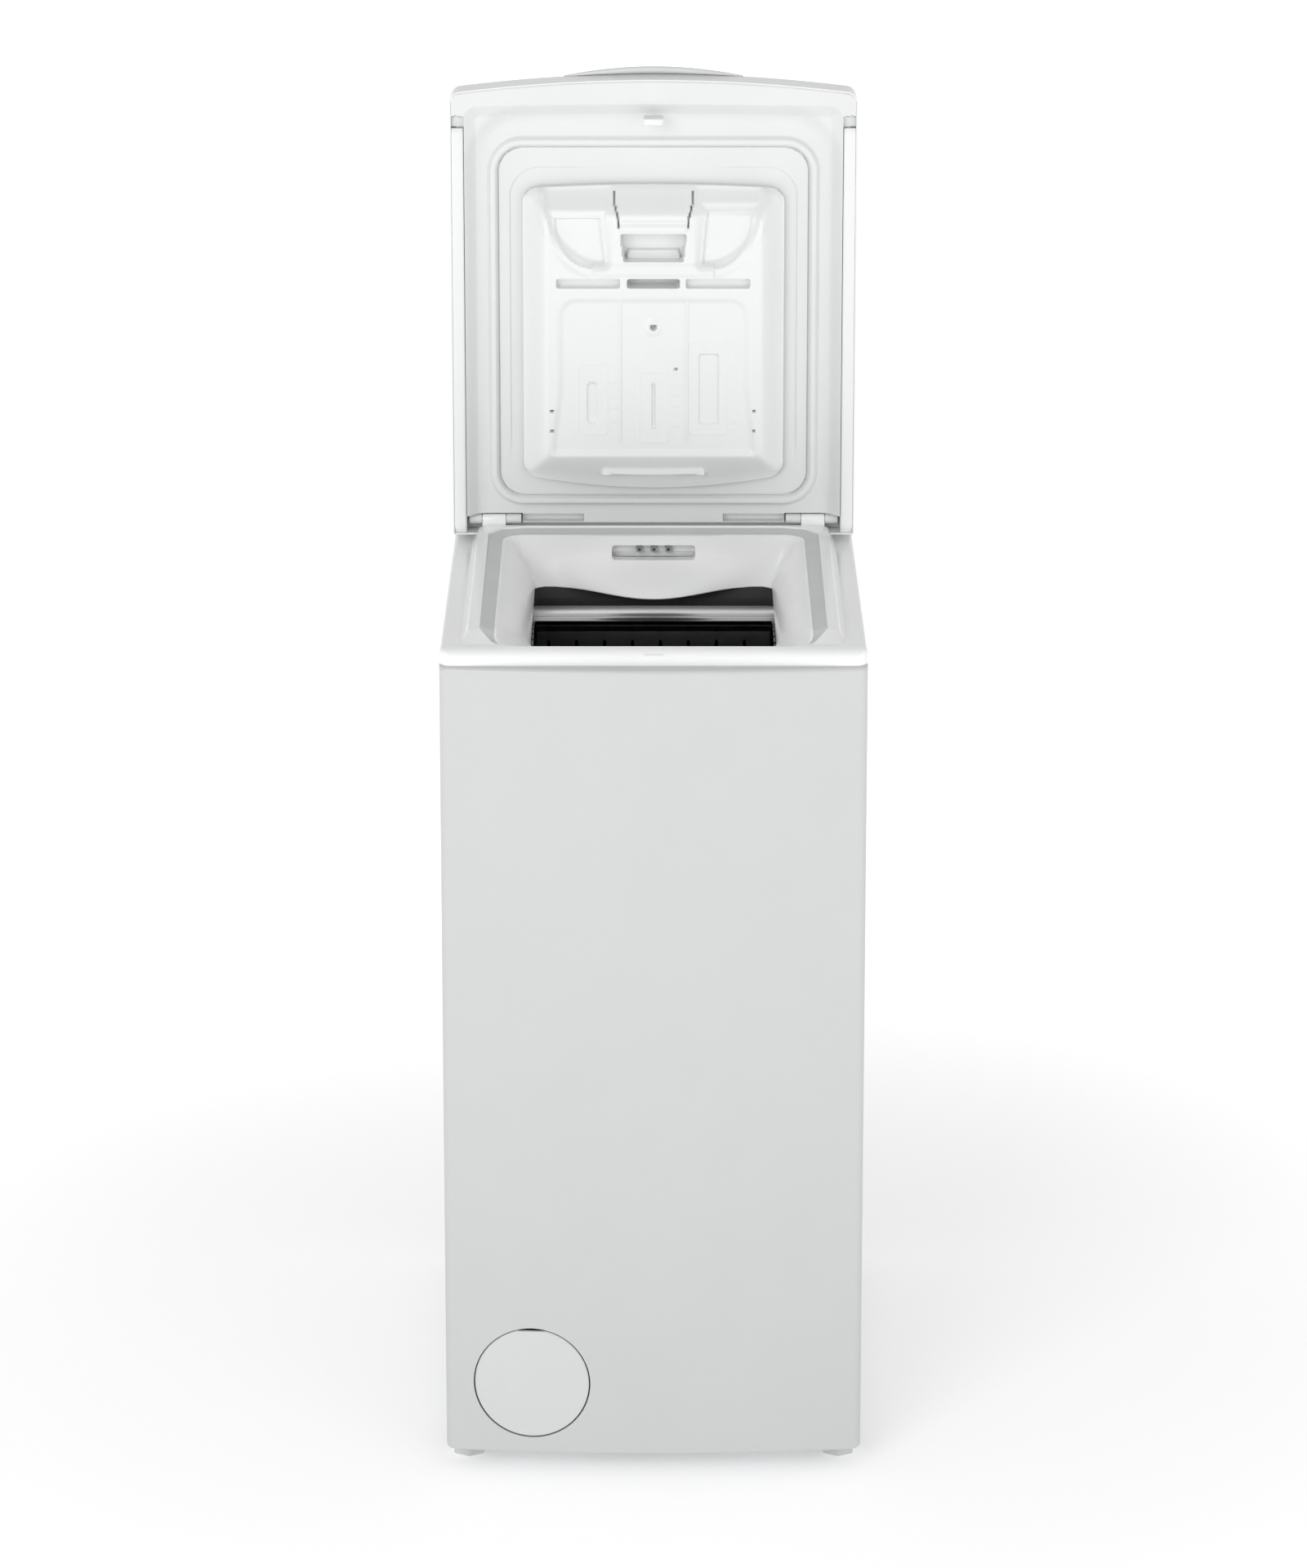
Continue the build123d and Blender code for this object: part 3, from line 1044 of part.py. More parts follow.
with BuildPart() as drum_pulley:
    along_x(PULLEY_X, 0, AXIS_Z, PULLEY_R)
    for x0 in (PULLEY_X[0], PULLEY_X[1] - 2):
        along_x((x0, x0 + 2), 0, AXIS_Z, PULLEY_R + 5)
    for i in range(6):
        with BuildSketch(Plane.YZ.offset(PULLEY_X[0])):
            with Locations(Location((0, AXIS_Z), 30.0 + i * 60.0)):
                with Locations((78.0, 0)):
                    SlotOverall(80.0, 44.0)
        extrude(amount=PULLEY_X[1] - PULLEY_X[0], mode=Mode.SUBTRACT)
    along_x(PULLEY_X, 0, AXIS_Z, SHAFT_R, mode=Mode.SUBTRACT)
save(drum_pulley, "drum_pulley")

FLAP_OPEN = 110.0
FLAP_HINGE_R = 234.0
FLAP_R = 237.6
flap_hinge_y = FLAP_HINGE_R * math.sin(math.radians(DOOR_ANGLE))
flap_hinge_z = AXIS_Z + FLAP_HINGE_R * math.cos(math.radians(DOOR_ANGLE))


def flap_sector(start, end, outer, inner, half):
    """A curved plate of the drum between two angles from the top, in degrees."""
    def at(radius, angle):
        a = math.radians(angle)
        return radius * math.sin(a), AXIS_Z + radius * math.cos(a)
    middle = (start + end) / 2
    with BuildSketch(Plane.YZ) as sector:
        with BuildLine():
            ThreePointArc(at(outer, start), at(outer, middle), at(outer, end))
            Line(at(outer, end), at(inner, end))
            ThreePointArc(at(inner, end), at(inner, middle), at(inner, start))
            Line(at(inner, start), at(outer, start))
        make_face()
    extrude(sector.sketch, amount=half, both=True)


for end, name in ((-1, "drum_flap_front"), (1, "drum_flap_rear")):
    with BuildPart() as closed_flap:
        near = 0.25
        far = DOOR_ANGLE - 0.5
        flap_sector(end * near, end * far, FLAP_R, FLAP_R - DRUM_SHEET, DOOR_HALF)
    hinge = Axis((0, end * flap_hinge_y, flap_hinge_z), (1, 0, 0))
    with BuildPart() as flap:
        add(closed_flap.part.rotate(hinge, end * FLAP_OPEN))
    save(flap, name)

with BuildPart() as closed_latch:
    flap_sector(-5.0, -0.25, FLAP_R - DRUM_SHEET, FLAP_R - DRUM_SHEET - 7, 22.0)
front_hinge = Axis((0, -flap_hinge_y, flap_hinge_z), (1, 0, 0))
with BuildPart() as flap_latch:
    add(closed_latch.part.rotate(front_hinge, -FLAP_OPEN))
save(flap_latch, "flap_latch")
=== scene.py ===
import json
import math

import bmesh
import bpy
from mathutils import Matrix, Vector


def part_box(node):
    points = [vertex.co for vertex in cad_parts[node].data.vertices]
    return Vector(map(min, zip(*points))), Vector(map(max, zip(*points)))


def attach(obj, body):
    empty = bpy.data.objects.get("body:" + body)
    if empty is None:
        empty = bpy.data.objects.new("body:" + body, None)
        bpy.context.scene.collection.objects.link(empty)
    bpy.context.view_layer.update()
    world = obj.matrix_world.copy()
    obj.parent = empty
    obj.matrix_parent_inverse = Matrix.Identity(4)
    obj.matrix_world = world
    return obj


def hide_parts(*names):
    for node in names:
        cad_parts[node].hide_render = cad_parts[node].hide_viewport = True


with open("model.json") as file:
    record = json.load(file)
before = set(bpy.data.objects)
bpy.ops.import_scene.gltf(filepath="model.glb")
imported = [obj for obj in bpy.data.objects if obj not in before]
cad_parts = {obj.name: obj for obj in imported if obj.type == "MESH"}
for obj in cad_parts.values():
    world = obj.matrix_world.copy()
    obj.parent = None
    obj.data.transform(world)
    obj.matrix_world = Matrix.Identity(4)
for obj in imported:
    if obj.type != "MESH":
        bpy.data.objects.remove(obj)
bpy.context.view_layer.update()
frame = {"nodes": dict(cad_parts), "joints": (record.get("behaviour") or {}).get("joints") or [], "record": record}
MM = 0.001

# ---------------------------------------------------------------- sizes read from the frame, in millimetres
joints = {j["name"]: j for j in frame["joints"]}
HINGE_Y, HINGE_Z = (1000 * c for c in joints["lid_hinge"]["pos_m"][1:])


def node_box(name):
    """A node's low and high corners in millimetres."""
    low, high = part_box(name)
    return low * 1000, high * 1000


panel_low, panel_high = node_box("front_panel")
HALF = panel_high.x
FRONT_Y = panel_low.y
PANEL_REAR = panel_high.y
SKIRT_Z = panel_low.z
SEAM_Z = panel_high.z
BOW = 13.0
EDGE_R = 6.0
HEM_R = 5.0
cover_low, cover_high = node_box("filter_cover")
COVER_R = (cover_high.x - cover_low.x) / 2
COVER_X = (cover_high.x + cover_low.x) / 2
COVER_Z = cover_low.z + COVER_R
COVER_GAP = 1.2
frame_low, frame_high = node_box("top_frame")
MOUTH_Z = node_box("tub_collar")[0].z
LEDGE_Z = 820.0
DECK_Z = 826.0
PLATFORM_HALF = 181.0
PLATFORM_REAR = 144.0
PLATFORM_EDGE = 9.0
ROLL_DEPTH, ROLL_RISE = 17.0, 15.3
HINGE_R = 5.0
LID_BACK, LID_RIM, LID_BASE = -22.0, 20.0, 3.0
LID_LOW, LID_CORNER, LID_TOP = -13.0, 432.0, 445.0
LID_CORNER_R = 10.0
LID_SKIN = 1.8
CLOSED_GAP = 0.5


# ---------------------------------------------------------------- small maths
def smooth(low, high, x):
    """0 below low, 1 above high, and a soft S between."""
    t = min(1.0, max(0.0, (x - low) / (high - low)))
    return t * t * (3 - 2 * t)


def band(low, high, soft, x):
    """1 between low and high, with edges soft wide outside them."""
    return smooth(low - soft, low, x) * (1 - smooth(high, high + soft, x))


def piecewise(points, x):
    """Linear interpolation through (x, y) points."""
    if x <= points[0][0]:
        return points[0][1]
    for (x0, y0), (x1, y1) in zip(points, points[1:]):
        if x <= x1:
            return y0 + (y1 - y0) * (x - x0) / (x1 - x0)
    return points[-1][1]


def lines(low, high, step, edges=(), fine=0.25, bands=()):
    """Grid lines from low to high: step apart, closer in bands, and a pair about each edge."""
    found = {low, high}
    count = max(1, round((high - low) / step))
    found.update(low + (high - low) * i / count for i in range(count + 1))
    for start, end, closer in bands:
        n = max(1, round((end - start) / closer))
        found.update(start + (end - start) * i / n for i in range(n + 1))
    for e in edges:
        found.update((e - fine, e + fine))
    kept = []
    for x in sorted(f for f in found if low <= f <= high):
        if not kept or x - kept[-1] > 0.08:
            kept.append(x)
    kept[-1] = high
    return kept


def box_distance(x, y, half_x, low_y, high_y, radius):
    """Signed distance from a rounded rectangle's edge, negative inside."""
    mid, half_y = (low_y + high_y) / 2, (high_y - low_y) / 2
    px, py = abs(x) - (half_x - radius), abs(y - mid) - (half_y - radius)
    return math.hypot(max(px, 0), max(py, 0)) + min(max(px, py), 0) - radius


def fillet_drop(into, radius):
    """How far a rounded edge of this radius falls away, into mm past where it starts."""
    t = min(max(into, 0.0), radius)
    return radius - math.sqrt(max(radius * radius - t * t, 0.0))


# ---------------------------------------------------------------- mesh helpers
def finish_mesh(bm, name, body, material, replaces=(), angle=40.0):
    """Turns a bmesh into a piece that rides on a body and stands for CAD nodes."""
    bmesh.ops.recalc_face_normals(bm, faces=bm.faces)
    mesh = bpy.data.meshes.new(name)
    bm.to_mesh(mesh)
    bm.free()
    piece = bpy.data.objects.new(name, mesh)
    bpy.context.scene.collection.objects.link(piece)
    mesh.materials.append(MATERIALS[material])
    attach(piece, body)
    if replaces:
        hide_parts(*replaces)
    shade(piece, angle)
    return piece


def shade(piece, angle=40.0):
    """Smooth shading with sharp edges above an angle."""
    mesh = piece.data
    mesh.shade_smooth()
    bm = bmesh.new()
    bm.from_mesh(mesh)
    limit = math.radians(angle)
    for e in bm.edges:
        e.smooth = len(e.link_faces) == 2 and e.calc_face_angle(0.0) < limit
    bm.to_mesh(mesh)
    bm.free()


def relief(bm, across, along, height, base, place):
    """A closed solid: a grid whose height is a function, over a flat base or a second function."""
    grid = [[bm.verts.new(place(x, y, height(x, y))) for x in across] for y in along]
    rows, cols = len(along), len(across)
    under = None
    if callable(base):
        under = [[bm.verts.new(place(x, y, base(x, y))) for x in across] for y in along]
        for j in range(rows - 1):
            for i in range(cols - 1):
                bm.faces.new((under[j][i], under[j + 1][i], under[j + 1][i + 1], under[j][i + 1]))
    for j in range(rows - 1):
        for i in range(cols - 1):
            bm.faces.new((grid[j][i], grid[j][i + 1], grid[j + 1][i + 1], grid[j + 1][i]))
    rim = [(0, i) for i in range(cols)] + [(j, cols - 1) for j in range(1, rows)]
    rim += [(rows - 1, i) for i in range(cols - 2, -1, -1)] + [(j, 0) for j in range(rows - 2, 0, -1)]
    upper = [grid[j][i] for j, i in rim]
    lower = [under[j][i] if under else bm.verts.new(place(across[i], along[j], base)) for j, i in rim]
    for k in range(len(rim)):
        n = (k + 1) % len(rim)
        bm.faces.new((upper[k], upper[n], lower[n], lower[k]))
    if not under:
        bm.faces.new(lower)


def rings(bm, loops, close=False, caps=False):
    """Joins loops of equally many points into a skin, closed as a ring or with capped ends."""
    made = [[bm.verts.new(p) for p in loop] for loop in loops]
    pairs = list(zip(made, made[1:]))
    if close:
        pairs.append((made[-1], made[0]))
    for a, b in pairs:
        for k in range(len(a)):
            n = (k + 1) % len(a)
            bm.faces.new((a[k], a[n], b[n], b[k]))
    if caps:
        bm.faces.new(list(reversed(made[0])))
        bm.faces.new(made[-1])


def rounded_box(bm, low, high, radius, segments=3):
    """A box in millimetres with rounded edges."""
    low, high = Vector(low) * MM, Vector(high) * MM
    made = bmesh.ops.create_cube(bm, size=1.0)
    for v in made["verts"]:
        v.co = Vector((low[i] + (v.co[i] + 0.5) * (high[i] - low[i]) for i in range(3)))
    edges = list(dict.fromkeys(e for v in made["verts"] for e in v.link_edges))
    bmesh.ops.bevel(bm, geom=edges, offset=radius * MM, segments=segments, profile=0.5, affect="EDGES")


def rod(bm, start, end, radius, round_r=0.6, count=48):
    """A round bar between two points in millimetres, its ends rounded."""
    start, end = Vector(start) * MM, Vector(end) * MM
    axis = (end - start).normalized()
    side = axis.orthogonal().normalized()
    up = axis.cross(side)
    radius, round_r = radius * MM, round_r * MM
    length = (end - start).length
    profile = []
    for k in range(4):
        a = math.pi / 2 * k / 3
        profile.append((round_r * (1 - math.cos(a)) if k else 0.0, radius - round_r * (1 - math.sin(a))))
    line = profile + [(length - d, r) for d, r in reversed(profile)]
    loops = []
    for d, r in line:
        loops.append([start + axis * d + (side * math.cos(t) + up * math.sin(t)) * r
                      for t in (2 * math.pi * i / count for i in range(count))])
    rings(bm, loops, caps=True)


def cut(piece, tool_bm, operation="DIFFERENCE"):
    """Cuts a piece with a closed bmesh and keeps the result."""
    bmesh.ops.recalc_face_normals(tool_bm, faces=tool_bm.faces)
    mesh = bpy.data.meshes.new("tool")
    tool_bm.to_mesh(mesh)
    tool_bm.free()
    tool = bpy.data.objects.new("tool", mesh)
    bpy.context.scene.collection.objects.link(tool)
    modifier = piece.modifiers.new("cut", "BOOLEAN")
    modifier.operation = operation
    modifier.solver = "EXACT"
    modifier.object = tool
    bpy.context.view_layer.update()
    graph = bpy.context.evaluated_depsgraph_get()
    result = bpy.data.meshes.new_from_object(piece.evaluated_get(graph))
    piece.modifiers.clear()
    old = piece.data
    piece.data = result
    bpy.data.meshes.remove(old)
    bpy.data.objects.remove(tool)
    bpy.data.meshes.remove(mesh)


def prism(bm, outline, low, high):
    """An upright prism over (x, y) points in millimetres."""
    loops = [[(x * MM, y * MM, z * MM) for x, y in outline] for z in (low, high)]
    rings(bm, loops, caps=True)


def rounded_polygon(points, radius, segments=8):
    """The points of a closed outline with every corner rounded."""
    out = []
    count = len(points)
    for i in range(count):
        before, here, after = (Vector(points[(i + k) % count]) for k in (-1, 0, 1))
        a, b = (before - here).normalized(), (after - here).normalized()
        half = math.acos(max(-1.0, min(1.0, a.dot(b)))) / 2
        if half > math.radians(89):
            out.append(tuple(here))
            continue
        reach = min(radius / math.tan(half), 0.49 * (before - here).length, 0.49 * (after - here).length)
        r = reach * math.tan(half)
        centre = here + (a + b).normalized() * (r / math.sin(half))
        start = here + a * reach - centre
        end = here + b * reach - centre
        turn = math.atan2(start.x * end.y - start.y * end.x, start.dot(end))
        for k in range(segments + 1):
            t = turn * k / segments
            out.append((centre.x + start.x * math.cos(t) - start.y * math.sin(t),
                        centre.y + start.x * math.sin(t) + start.y * math.cos(t)))
    return out


def on_lid(x, u, v):
    """A point on the open lid: x across, u up from the hinge, v forward."""
    return (x * MM, (HINGE_Y - v) * MM, (HINGE_Z + u) * MM)


# ---------------------------------------------------------------- materials
def nodes_of(name):
    """A new material with its node tree and shader."""
    material = bpy.data.materials.new(name)
    material.use_nodes = True
    tree = material.node_tree
    return material, tree, tree.nodes["Principled BSDF"]


def surface(name, color, roughness, metallic=0.0, vary=0.02, vary_scale=18.0, bump=0.0, bump_scale=900.0,
            rough_vary=0.04, coat=0.0, stretch=(1, 1, 1), specular=0.5, detail=4.0):
    """A procedural material: tone and gloss that drift slightly, and a fine bump."""
    material, tree, shader = nodes_of(name)
    link = tree.links.new
    place = tree.nodes.new("ShaderNodeTexCoord")
    stretcher = tree.nodes.new("ShaderNodeMapping")
    stretcher.inputs["Scale"].default_value = stretch
    link(place.outputs["Object"], stretcher.inputs["Vector"])
    tone = tree.nodes.new("ShaderNodeTexNoise")
    tone.inputs["Scale"].default_value = vary_scale
    tone.inputs["Detail"].default_value = detail
    link(stretcher.outputs["Vector"], tone.inputs["Vector"])
    ramp = tree.nodes.new("ShaderNodeValToRGB")
    ramp.color_ramp.elements[0].position = 0.3
    ramp.color_ramp.elements[1].position = 0.7
    ramp.color_ramp.elements[0].color = (*[c * (1 - vary) for c in color], 1)
    ramp.color_ramp.elements[1].color = (*[min(1.0, c * (1 + vary)) for c in color], 1)
    link(tone.outputs["Fac"], ramp.inputs["Fac"])
    link(ramp.outputs["Color"], shader.inputs["Base Color"])
    gloss = tree.nodes.new("ShaderNodeMapRange")
    gloss.inputs["To Min"].default_value = max(0.02, roughness - rough_vary)
    gloss.inputs["To Max"].default_value = min(1.0, roughness + rough_vary)
    link(tone.outputs["Fac"], gloss.inputs["Value"])
    link(gloss.outputs["Result"], shader.inputs["Roughness"])
    if bump:
        grain = tree.nodes.new("ShaderNodeTexNoise")
        grain.inputs["Scale"].default_value = bump_scale
        grain.inputs["Detail"].default_value = 2.0
        link(stretcher.outputs["Vector"], grain.inputs["Vector"])
        dent = tree.nodes.new("ShaderNodeBump")
        dent.inputs["Strength"].default_value = bump
        dent.inputs["Distance"].default_value = 0.0002
        link(grain.outputs["Fac"], dent.inputs["Height"])
        link(dent.outputs["Normal"], shader.inputs["Normal"])
    shader.inputs["Metallic"].default_value = metallic
    shader.inputs["Specular IOR Level"].default_value = specular
    shader.inputs["Coat Weight"].default_value = coat
    shader.inputs["Coat Roughness"].default_value = 0.08
    return material


LOOKS = {
    "white_paint": dict(color=(0.56, 0.57, 0.565), roughness=0.32, bump=0.10, bump_scale=420.0, vary=0.008),
    "white_cover": dict(color=(0.62, 0.63, 0.625), roughness=0.34, bump=0.08, bump_scale=700.0, vary=0.008),
    # The funnel's white is the palest of the whites: painted light making up for the shade the funnel sits in
    # below the deck.
    "white_funnel_painted_light": dict(color=(0.91, 0.915, 0.912), roughness=0.25, bump=0.02, bump_scale=260.0,
                         vary=0.006),
    "white_frame": dict(color=(0.89, 0.90, 0.895), roughness=0.22, bump=0.02, bump_scale=260.0, vary=0.008,
                        coat=0.25),
    "white_liner": dict(color=(0.73, 0.74, 0.735), roughness=0.36, bump=0.08, bump_scale=1500.0,
                        vary=0.008),
    "foot_plastic": dict(color=(0.62, 0.63, 0.625), roughness=0.5, bump=0.15, bump_scale=1100.0, vary=0.04),
    "white_gloss": dict(color=(0.80, 0.81, 0.805), roughness=0.22, bump=0.02, bump_scale=260.0, vary=0.008,
                        coat=0.25),
    "white_satin": dict(color=(0.80, 0.81, 0.805), roughness=0.38, bump=0.08, bump_scale=1500.0,
                        vary=0.008),
    "grey_rubber": dict(color=(0.60, 0.615, 0.61), roughness=0.62, bump=0.18, bump_scale=1300.0, vary=0.03),
    "black_rubber": dict(color=(0.022, 0.022, 0.023), roughness=0.7, bump=0.25, bump_scale=900.0,
                         vary=0.15),
    "stainless": dict(color=(0.50, 0.50, 0.505), roughness=0.26, metallic=1.0, bump=0.10, bump_scale=240.0,
                      stretch=(0.06, 1, 1), vary=0.06, rough_vary=0.08),
    "galvanised": dict(color=(0.50, 0.51, 0.53), roughness=0.45, metallic=0.8, vary=0.14, vary_scale=45.0,
                       bump=0.05, bump_scale=300.0, rough_vary=0.1, detail=1.0),
    "tub_plastic": dict(color=(0.46, 0.47, 0.48), roughness=0.55, bump=0.2, bump_scale=900.0, vary=0.04),
    "grey_plastic": dict(color=(0.30, 0.31, 0.32), roughness=0.45, bump=0.15, bump_scale=1100.0, vary=0.05),
    "black_plastic": dict(color=(0.03, 0.031, 0.033), roughness=0.5, bump=0.2, bump_scale=1100.0, vary=0.1),
    "neck_steel": dict(color=(0.62, 0.62, 0.62), roughness=0.3, metallic=1.0, bump=0.05, bump_scale=240.0,
                       stretch=(0.05, 1, 1), vary=0.05),
    "bearing_steel": dict(color=(0.55, 0.55, 0.56), roughness=0.28, metallic=1.0, bump=0.06,
                          bump_scale=700.0, vary=0.05),
    "cast_aluminium": dict(color=(0.58, 0.58, 0.59), roughness=0.45, metallic=1.0, bump=0.3,
                           bump_scale=500.0, vary=0.06, rough_vary=0.1),
    "concrete": dict(color=(0.42, 0.41, 0.385), roughness=0.9, bump=0.9, bump_scale=320.0, vary=0.16,
                     vary_scale=60.0),
    "dark_glass": dict(color=(0.02, 0.023, 0.027), roughness=0.06, vary=0.1, coat=1.0, bump=0.01),
    "motor_metal": dict(color=(0.18, 0.19, 0.2), roughness=0.5, metallic=0.6, bump=0.3, bump_scale=500.0,
                        stretch=(8, 1, 1), vary=0.1),
}
MATERIALS = {name: surface(name, **look) for name, look in LOOKS.items()}


def drum_metal():
    """Stainless sheet with rows of drain holes, worked out from the place round the drum's axis; the holes are
    painted near-black, painted shade for the dark seen through them.
    """
    material = surface("drum_metal", (0.42, 0.42, 0.425), 0.24, metallic=1.0, vary=0.06,
                       stretch=(0.06, 1, 1))
    tree = material.node_tree
    link = tree.links.new
    shader = tree.nodes["Principled BSDF"]
    place = tree.nodes.new("ShaderNodeTexCoord")
    split = tree.nodes.new("ShaderNodeSeparateXYZ")
    link(place.outputs["Object"], split.inputs["Vector"])

    def maths(operation, a, b=None):
        node = tree.nodes.new("ShaderNodeMath")
        node.operation = operation
        for socket, value in zip(node.inputs, (a, b)):
            if value is None:
                continue
            if isinstance(value, (int, float)):
                socket.default_value = value
            else:
                link(value, socket)
        return node.outputs["Value"]

    axis_z = joints["drum_spin"]["pos_m"][2]
    pitch, radius = 0.016, 0.238
    height = maths("SUBTRACT", split.outputs["Z"], axis_z)
    angle = maths("MULTIPLY", maths("ARCTAN2", split.outputs["Y"], height), radius / pitch)
    row = maths("DIVIDE", split.outputs["X"], pitch * 0.87)
    odd = maths("MULTIPLY", maths("FLOORED_MODULO", maths("FLOOR", row), 2.0), 0.5)
    in_row = maths("SUBTRACT", maths("FRACT", row), 0.5)
    in_turn = maths("SUBTRACT", maths("FRACT", maths("ADD", angle, odd)), 0.5)
    squares = maths("ADD", maths("MULTIPLY", in_row, in_row), maths("MULTIPLY", in_turn, in_turn))
    distance = maths("SQRT", squares)
    hole = maths("LESS_THAN", distance, 0.13)
    dish = maths("SMOOTH_MIN", maths("MULTIPLY", distance, 4.0), 1.0)
    # Painted shade: each hole is coloured near-black for the dark seen through it.
    painted_hole_shade = tree.nodes.new("ShaderNodeMix")
    painted_hole_shade.data_type = "RGBA"
    link(hole, painted_hole_shade.inputs["Factor"])
    base = shader.inputs["Base Color"].links[0].from_socket
    link(base, painted_hole_shade.inputs["A"])
    painted_hole_shade.inputs["B"].default_value = (0.004, 0.004, 0.004, 1)
    link(painted_hole_shade.outputs["Result"], shader.inputs["Base Color"])
    dent = tree.nodes.new("ShaderNodeBump")
    dent.inputs["Strength"].default_value = 0.3
    dent.inputs["Distance"].default_value = 0.0008
    link(dish, dent.inputs["Height"])
    link(dent.outputs["Normal"], shader.inputs["Normal"])
    return material


MATERIALS["drum_metal"] = drum_metal()
DRUM_SHEETS = ("drum_shell", "drum_flap_front", "drum_flap_rear")
slots = {s["node"]: s["material_slot"] for s in frame["record"]["subparts"]}
for node, obj in frame["nodes"].items():
    chosen = "drum_metal" if node in DRUM_SHEETS else slots[node]
    # The tub bellows are made black in place of their slot's colour: partly the rubber's own colour, partly
    # painted shade for the dark under the funnel's lip.
    chosen = "black_rubber" if node == "tub_bellows" else chosen
    chosen = "foot_plastic" if node.startswith(("foot_front", "foot_rear")) else chosen
    obj.data.materials.clear()
    obj.data.materials.append(MATERIALS[chosen])


# ---------------------------------------------------------------- front panel and filter cover
def bow(x):
    """How far forward the bowed front stands at x."""
    return FRONT_Y + BOW * (x / HALF) ** 2


def front_face(x, z):
    """The front panel's surface, with its rounded uprights and rims."""
    y = bow(x) + fillet_drop(abs(x) - (HALF - EDGE_R), EDGE_R)
    y += fillet_drop(z - (SEAM_Z - HEM_R), HEM_R) + fillet_drop(SKIRT_Z + HEM_R - z, HEM_R)
    return min(y, PANEL_REAR - 0.5)


def front_panel():
    """The bowed front sheet with the round opening for the filter cover."""
    bm = bmesh.new()
    corner = [HALF - EDGE_R * (1 - math.sin(math.pi / 2 * i / 8)) for i in range(9)]
    xs = lines(-HALF, HALF, 8.0)
    xs = sorted(set(x for x in xs if abs(x) < HALF - EDGE_R) | set(corner) | set(-c for c in corner))
    hem = [HEM_R * (1 - math.sin(math.pi / 2 * i / 6)) for i in range(7)]
    top, foot = [SEAM_Z - h for h in hem], [SKIRT_Z + h for h in hem]
    zs = sorted(set(top) | set(foot) | set(lines(SKIRT_Z + 6, SEAM_Z - 6, 26.0)))

    def place(x, z, y):
        side = 1 - fillet_drop(SKIRT_Z + EDGE_R - z, EDGE_R) / HALF * smooth(HALF - 30, HALF, abs(x))
        return (x * side * MM, y * MM, z * MM)

    relief(bm, xs, zs, front_face, PANEL_REAR, place)
    piece = finish_mesh(bm, "front_panel_skin", "cabinet", "white_paint", ("front_panel",))
    tool = bmesh.new()
    start, end = (COVER_X, FRONT_Y - 20, COVER_Z), (COVER_X, PANEL_REAR + 20, COVER_Z)
    rod(tool, start, end, COVER_R + COVER_GAP, 0.1, 128)
    cut(piece, tool)
    shade(piece, 35)


def filter_cover():
    """A disc that follows the bow, with a softened rim and a finger notch at its top."""
    bm = bmesh.new()
    count = 144
    thick = 3.0
    chord = COVER_R - 1.9
    notch_half = 13.0

    def ring(radius, back):
        loop = []
        for i in range(count):
            t = 2 * math.pi * i / count
            x, z = radius * math.sin(t), radius * math.cos(t)
            if abs(x) <= notch_half and z > 0 and radius > COVER_R - 4:
                z = min(z, chord - (COVER_R - radius))
            loop.append(((COVER_X + x) * MM, (bow(COVER_X + x) + back) * MM, (COVER_Z + z) * MM))
        return loop

    steps = [(COVER_R, thick), (COVER_R, 1.2), (COVER_R - 0.35, 0.45), (COVER_R - 1.2, 0.05)]
    steps += [(r, 0.0) for r in (48.0, 40.0, 25.0, 10.0, 3.0)]
    loops = [ring(3.0, thick), ring(40.0, thick)] + [ring(r, b) for r, b in steps]
    rings(bm, loops, caps=True)
    finish_mesh(bm, "filter_cover_disc", "filter_cover", "white_cover", ("filter_cover",), angle=50)


# ---------------------------------------------------------------- side panels
def side_panels():
    """The two side sheets, each with a shallow pressed field."""
    low, high = node_box("right_side_panel")
    press_low, press_high = (low.y + 60, low.z + 70), (high.y - 60, high.z - 70)
    mid = (press_low[0] + press_high[0]) / 2
    edges_y = (press_low[0], press_low[0] + 8, press_high[0] - 8, press_high[0])
    edges_z = (press_low[1], press_low[1] + 8, press_high[1] - 8, press_high[1])
    bands_y = [(press_low[0] - 2, press_low[0] + 42, 2.5), (press_high[0] - 42, press_high[0] + 2, 2.5)]
    bands_z = [(press_low[1] - 2, press_low[1] + 42, 2.5), (press_high[1] - 42, press_high[1] + 2, 2.5)]
    ys = lines(low.y, high.y, 30.0, edges_y, bands=[*bands_y, (high.y - 4, high.y, 0.8)])
    zs = lines(low.z, high.z, 40.0, edges_z,
               bands=[*bands_z, (high.z - 4, high.z, 0.8), (low.z, low.z + 4, 0.8)])

    def depth(y, z):
        d = box_distance(y - mid, z, (press_high[0] - press_low[0]) / 2, press_low[1], press_high[1], 34.0)
        pressed = 2.4 * (1 - smooth(-9.0, 0.0, d))
        rim = fillet_drop(y - (high.y - 2.5), 2.5)
        rim += fillet_drop(z - (high.z - 2), 2)
        rim += fillet_drop(low.z + 2 - z, 2)
        return HALF - pressed - min(rim, 2.8)

    for side, name in ((-1, "left"), (1, "right")):
        bm = bmesh.new()
        relief(bm, ys, zs, depth, HALF - 3.2, lambda y, z, x: (side * x * MM, y * MM, z * MM))
        finish_mesh(bm, f"{name}_side_skin", "cabinet", "white_paint", (f"{name}_side_panel",), angle=50)


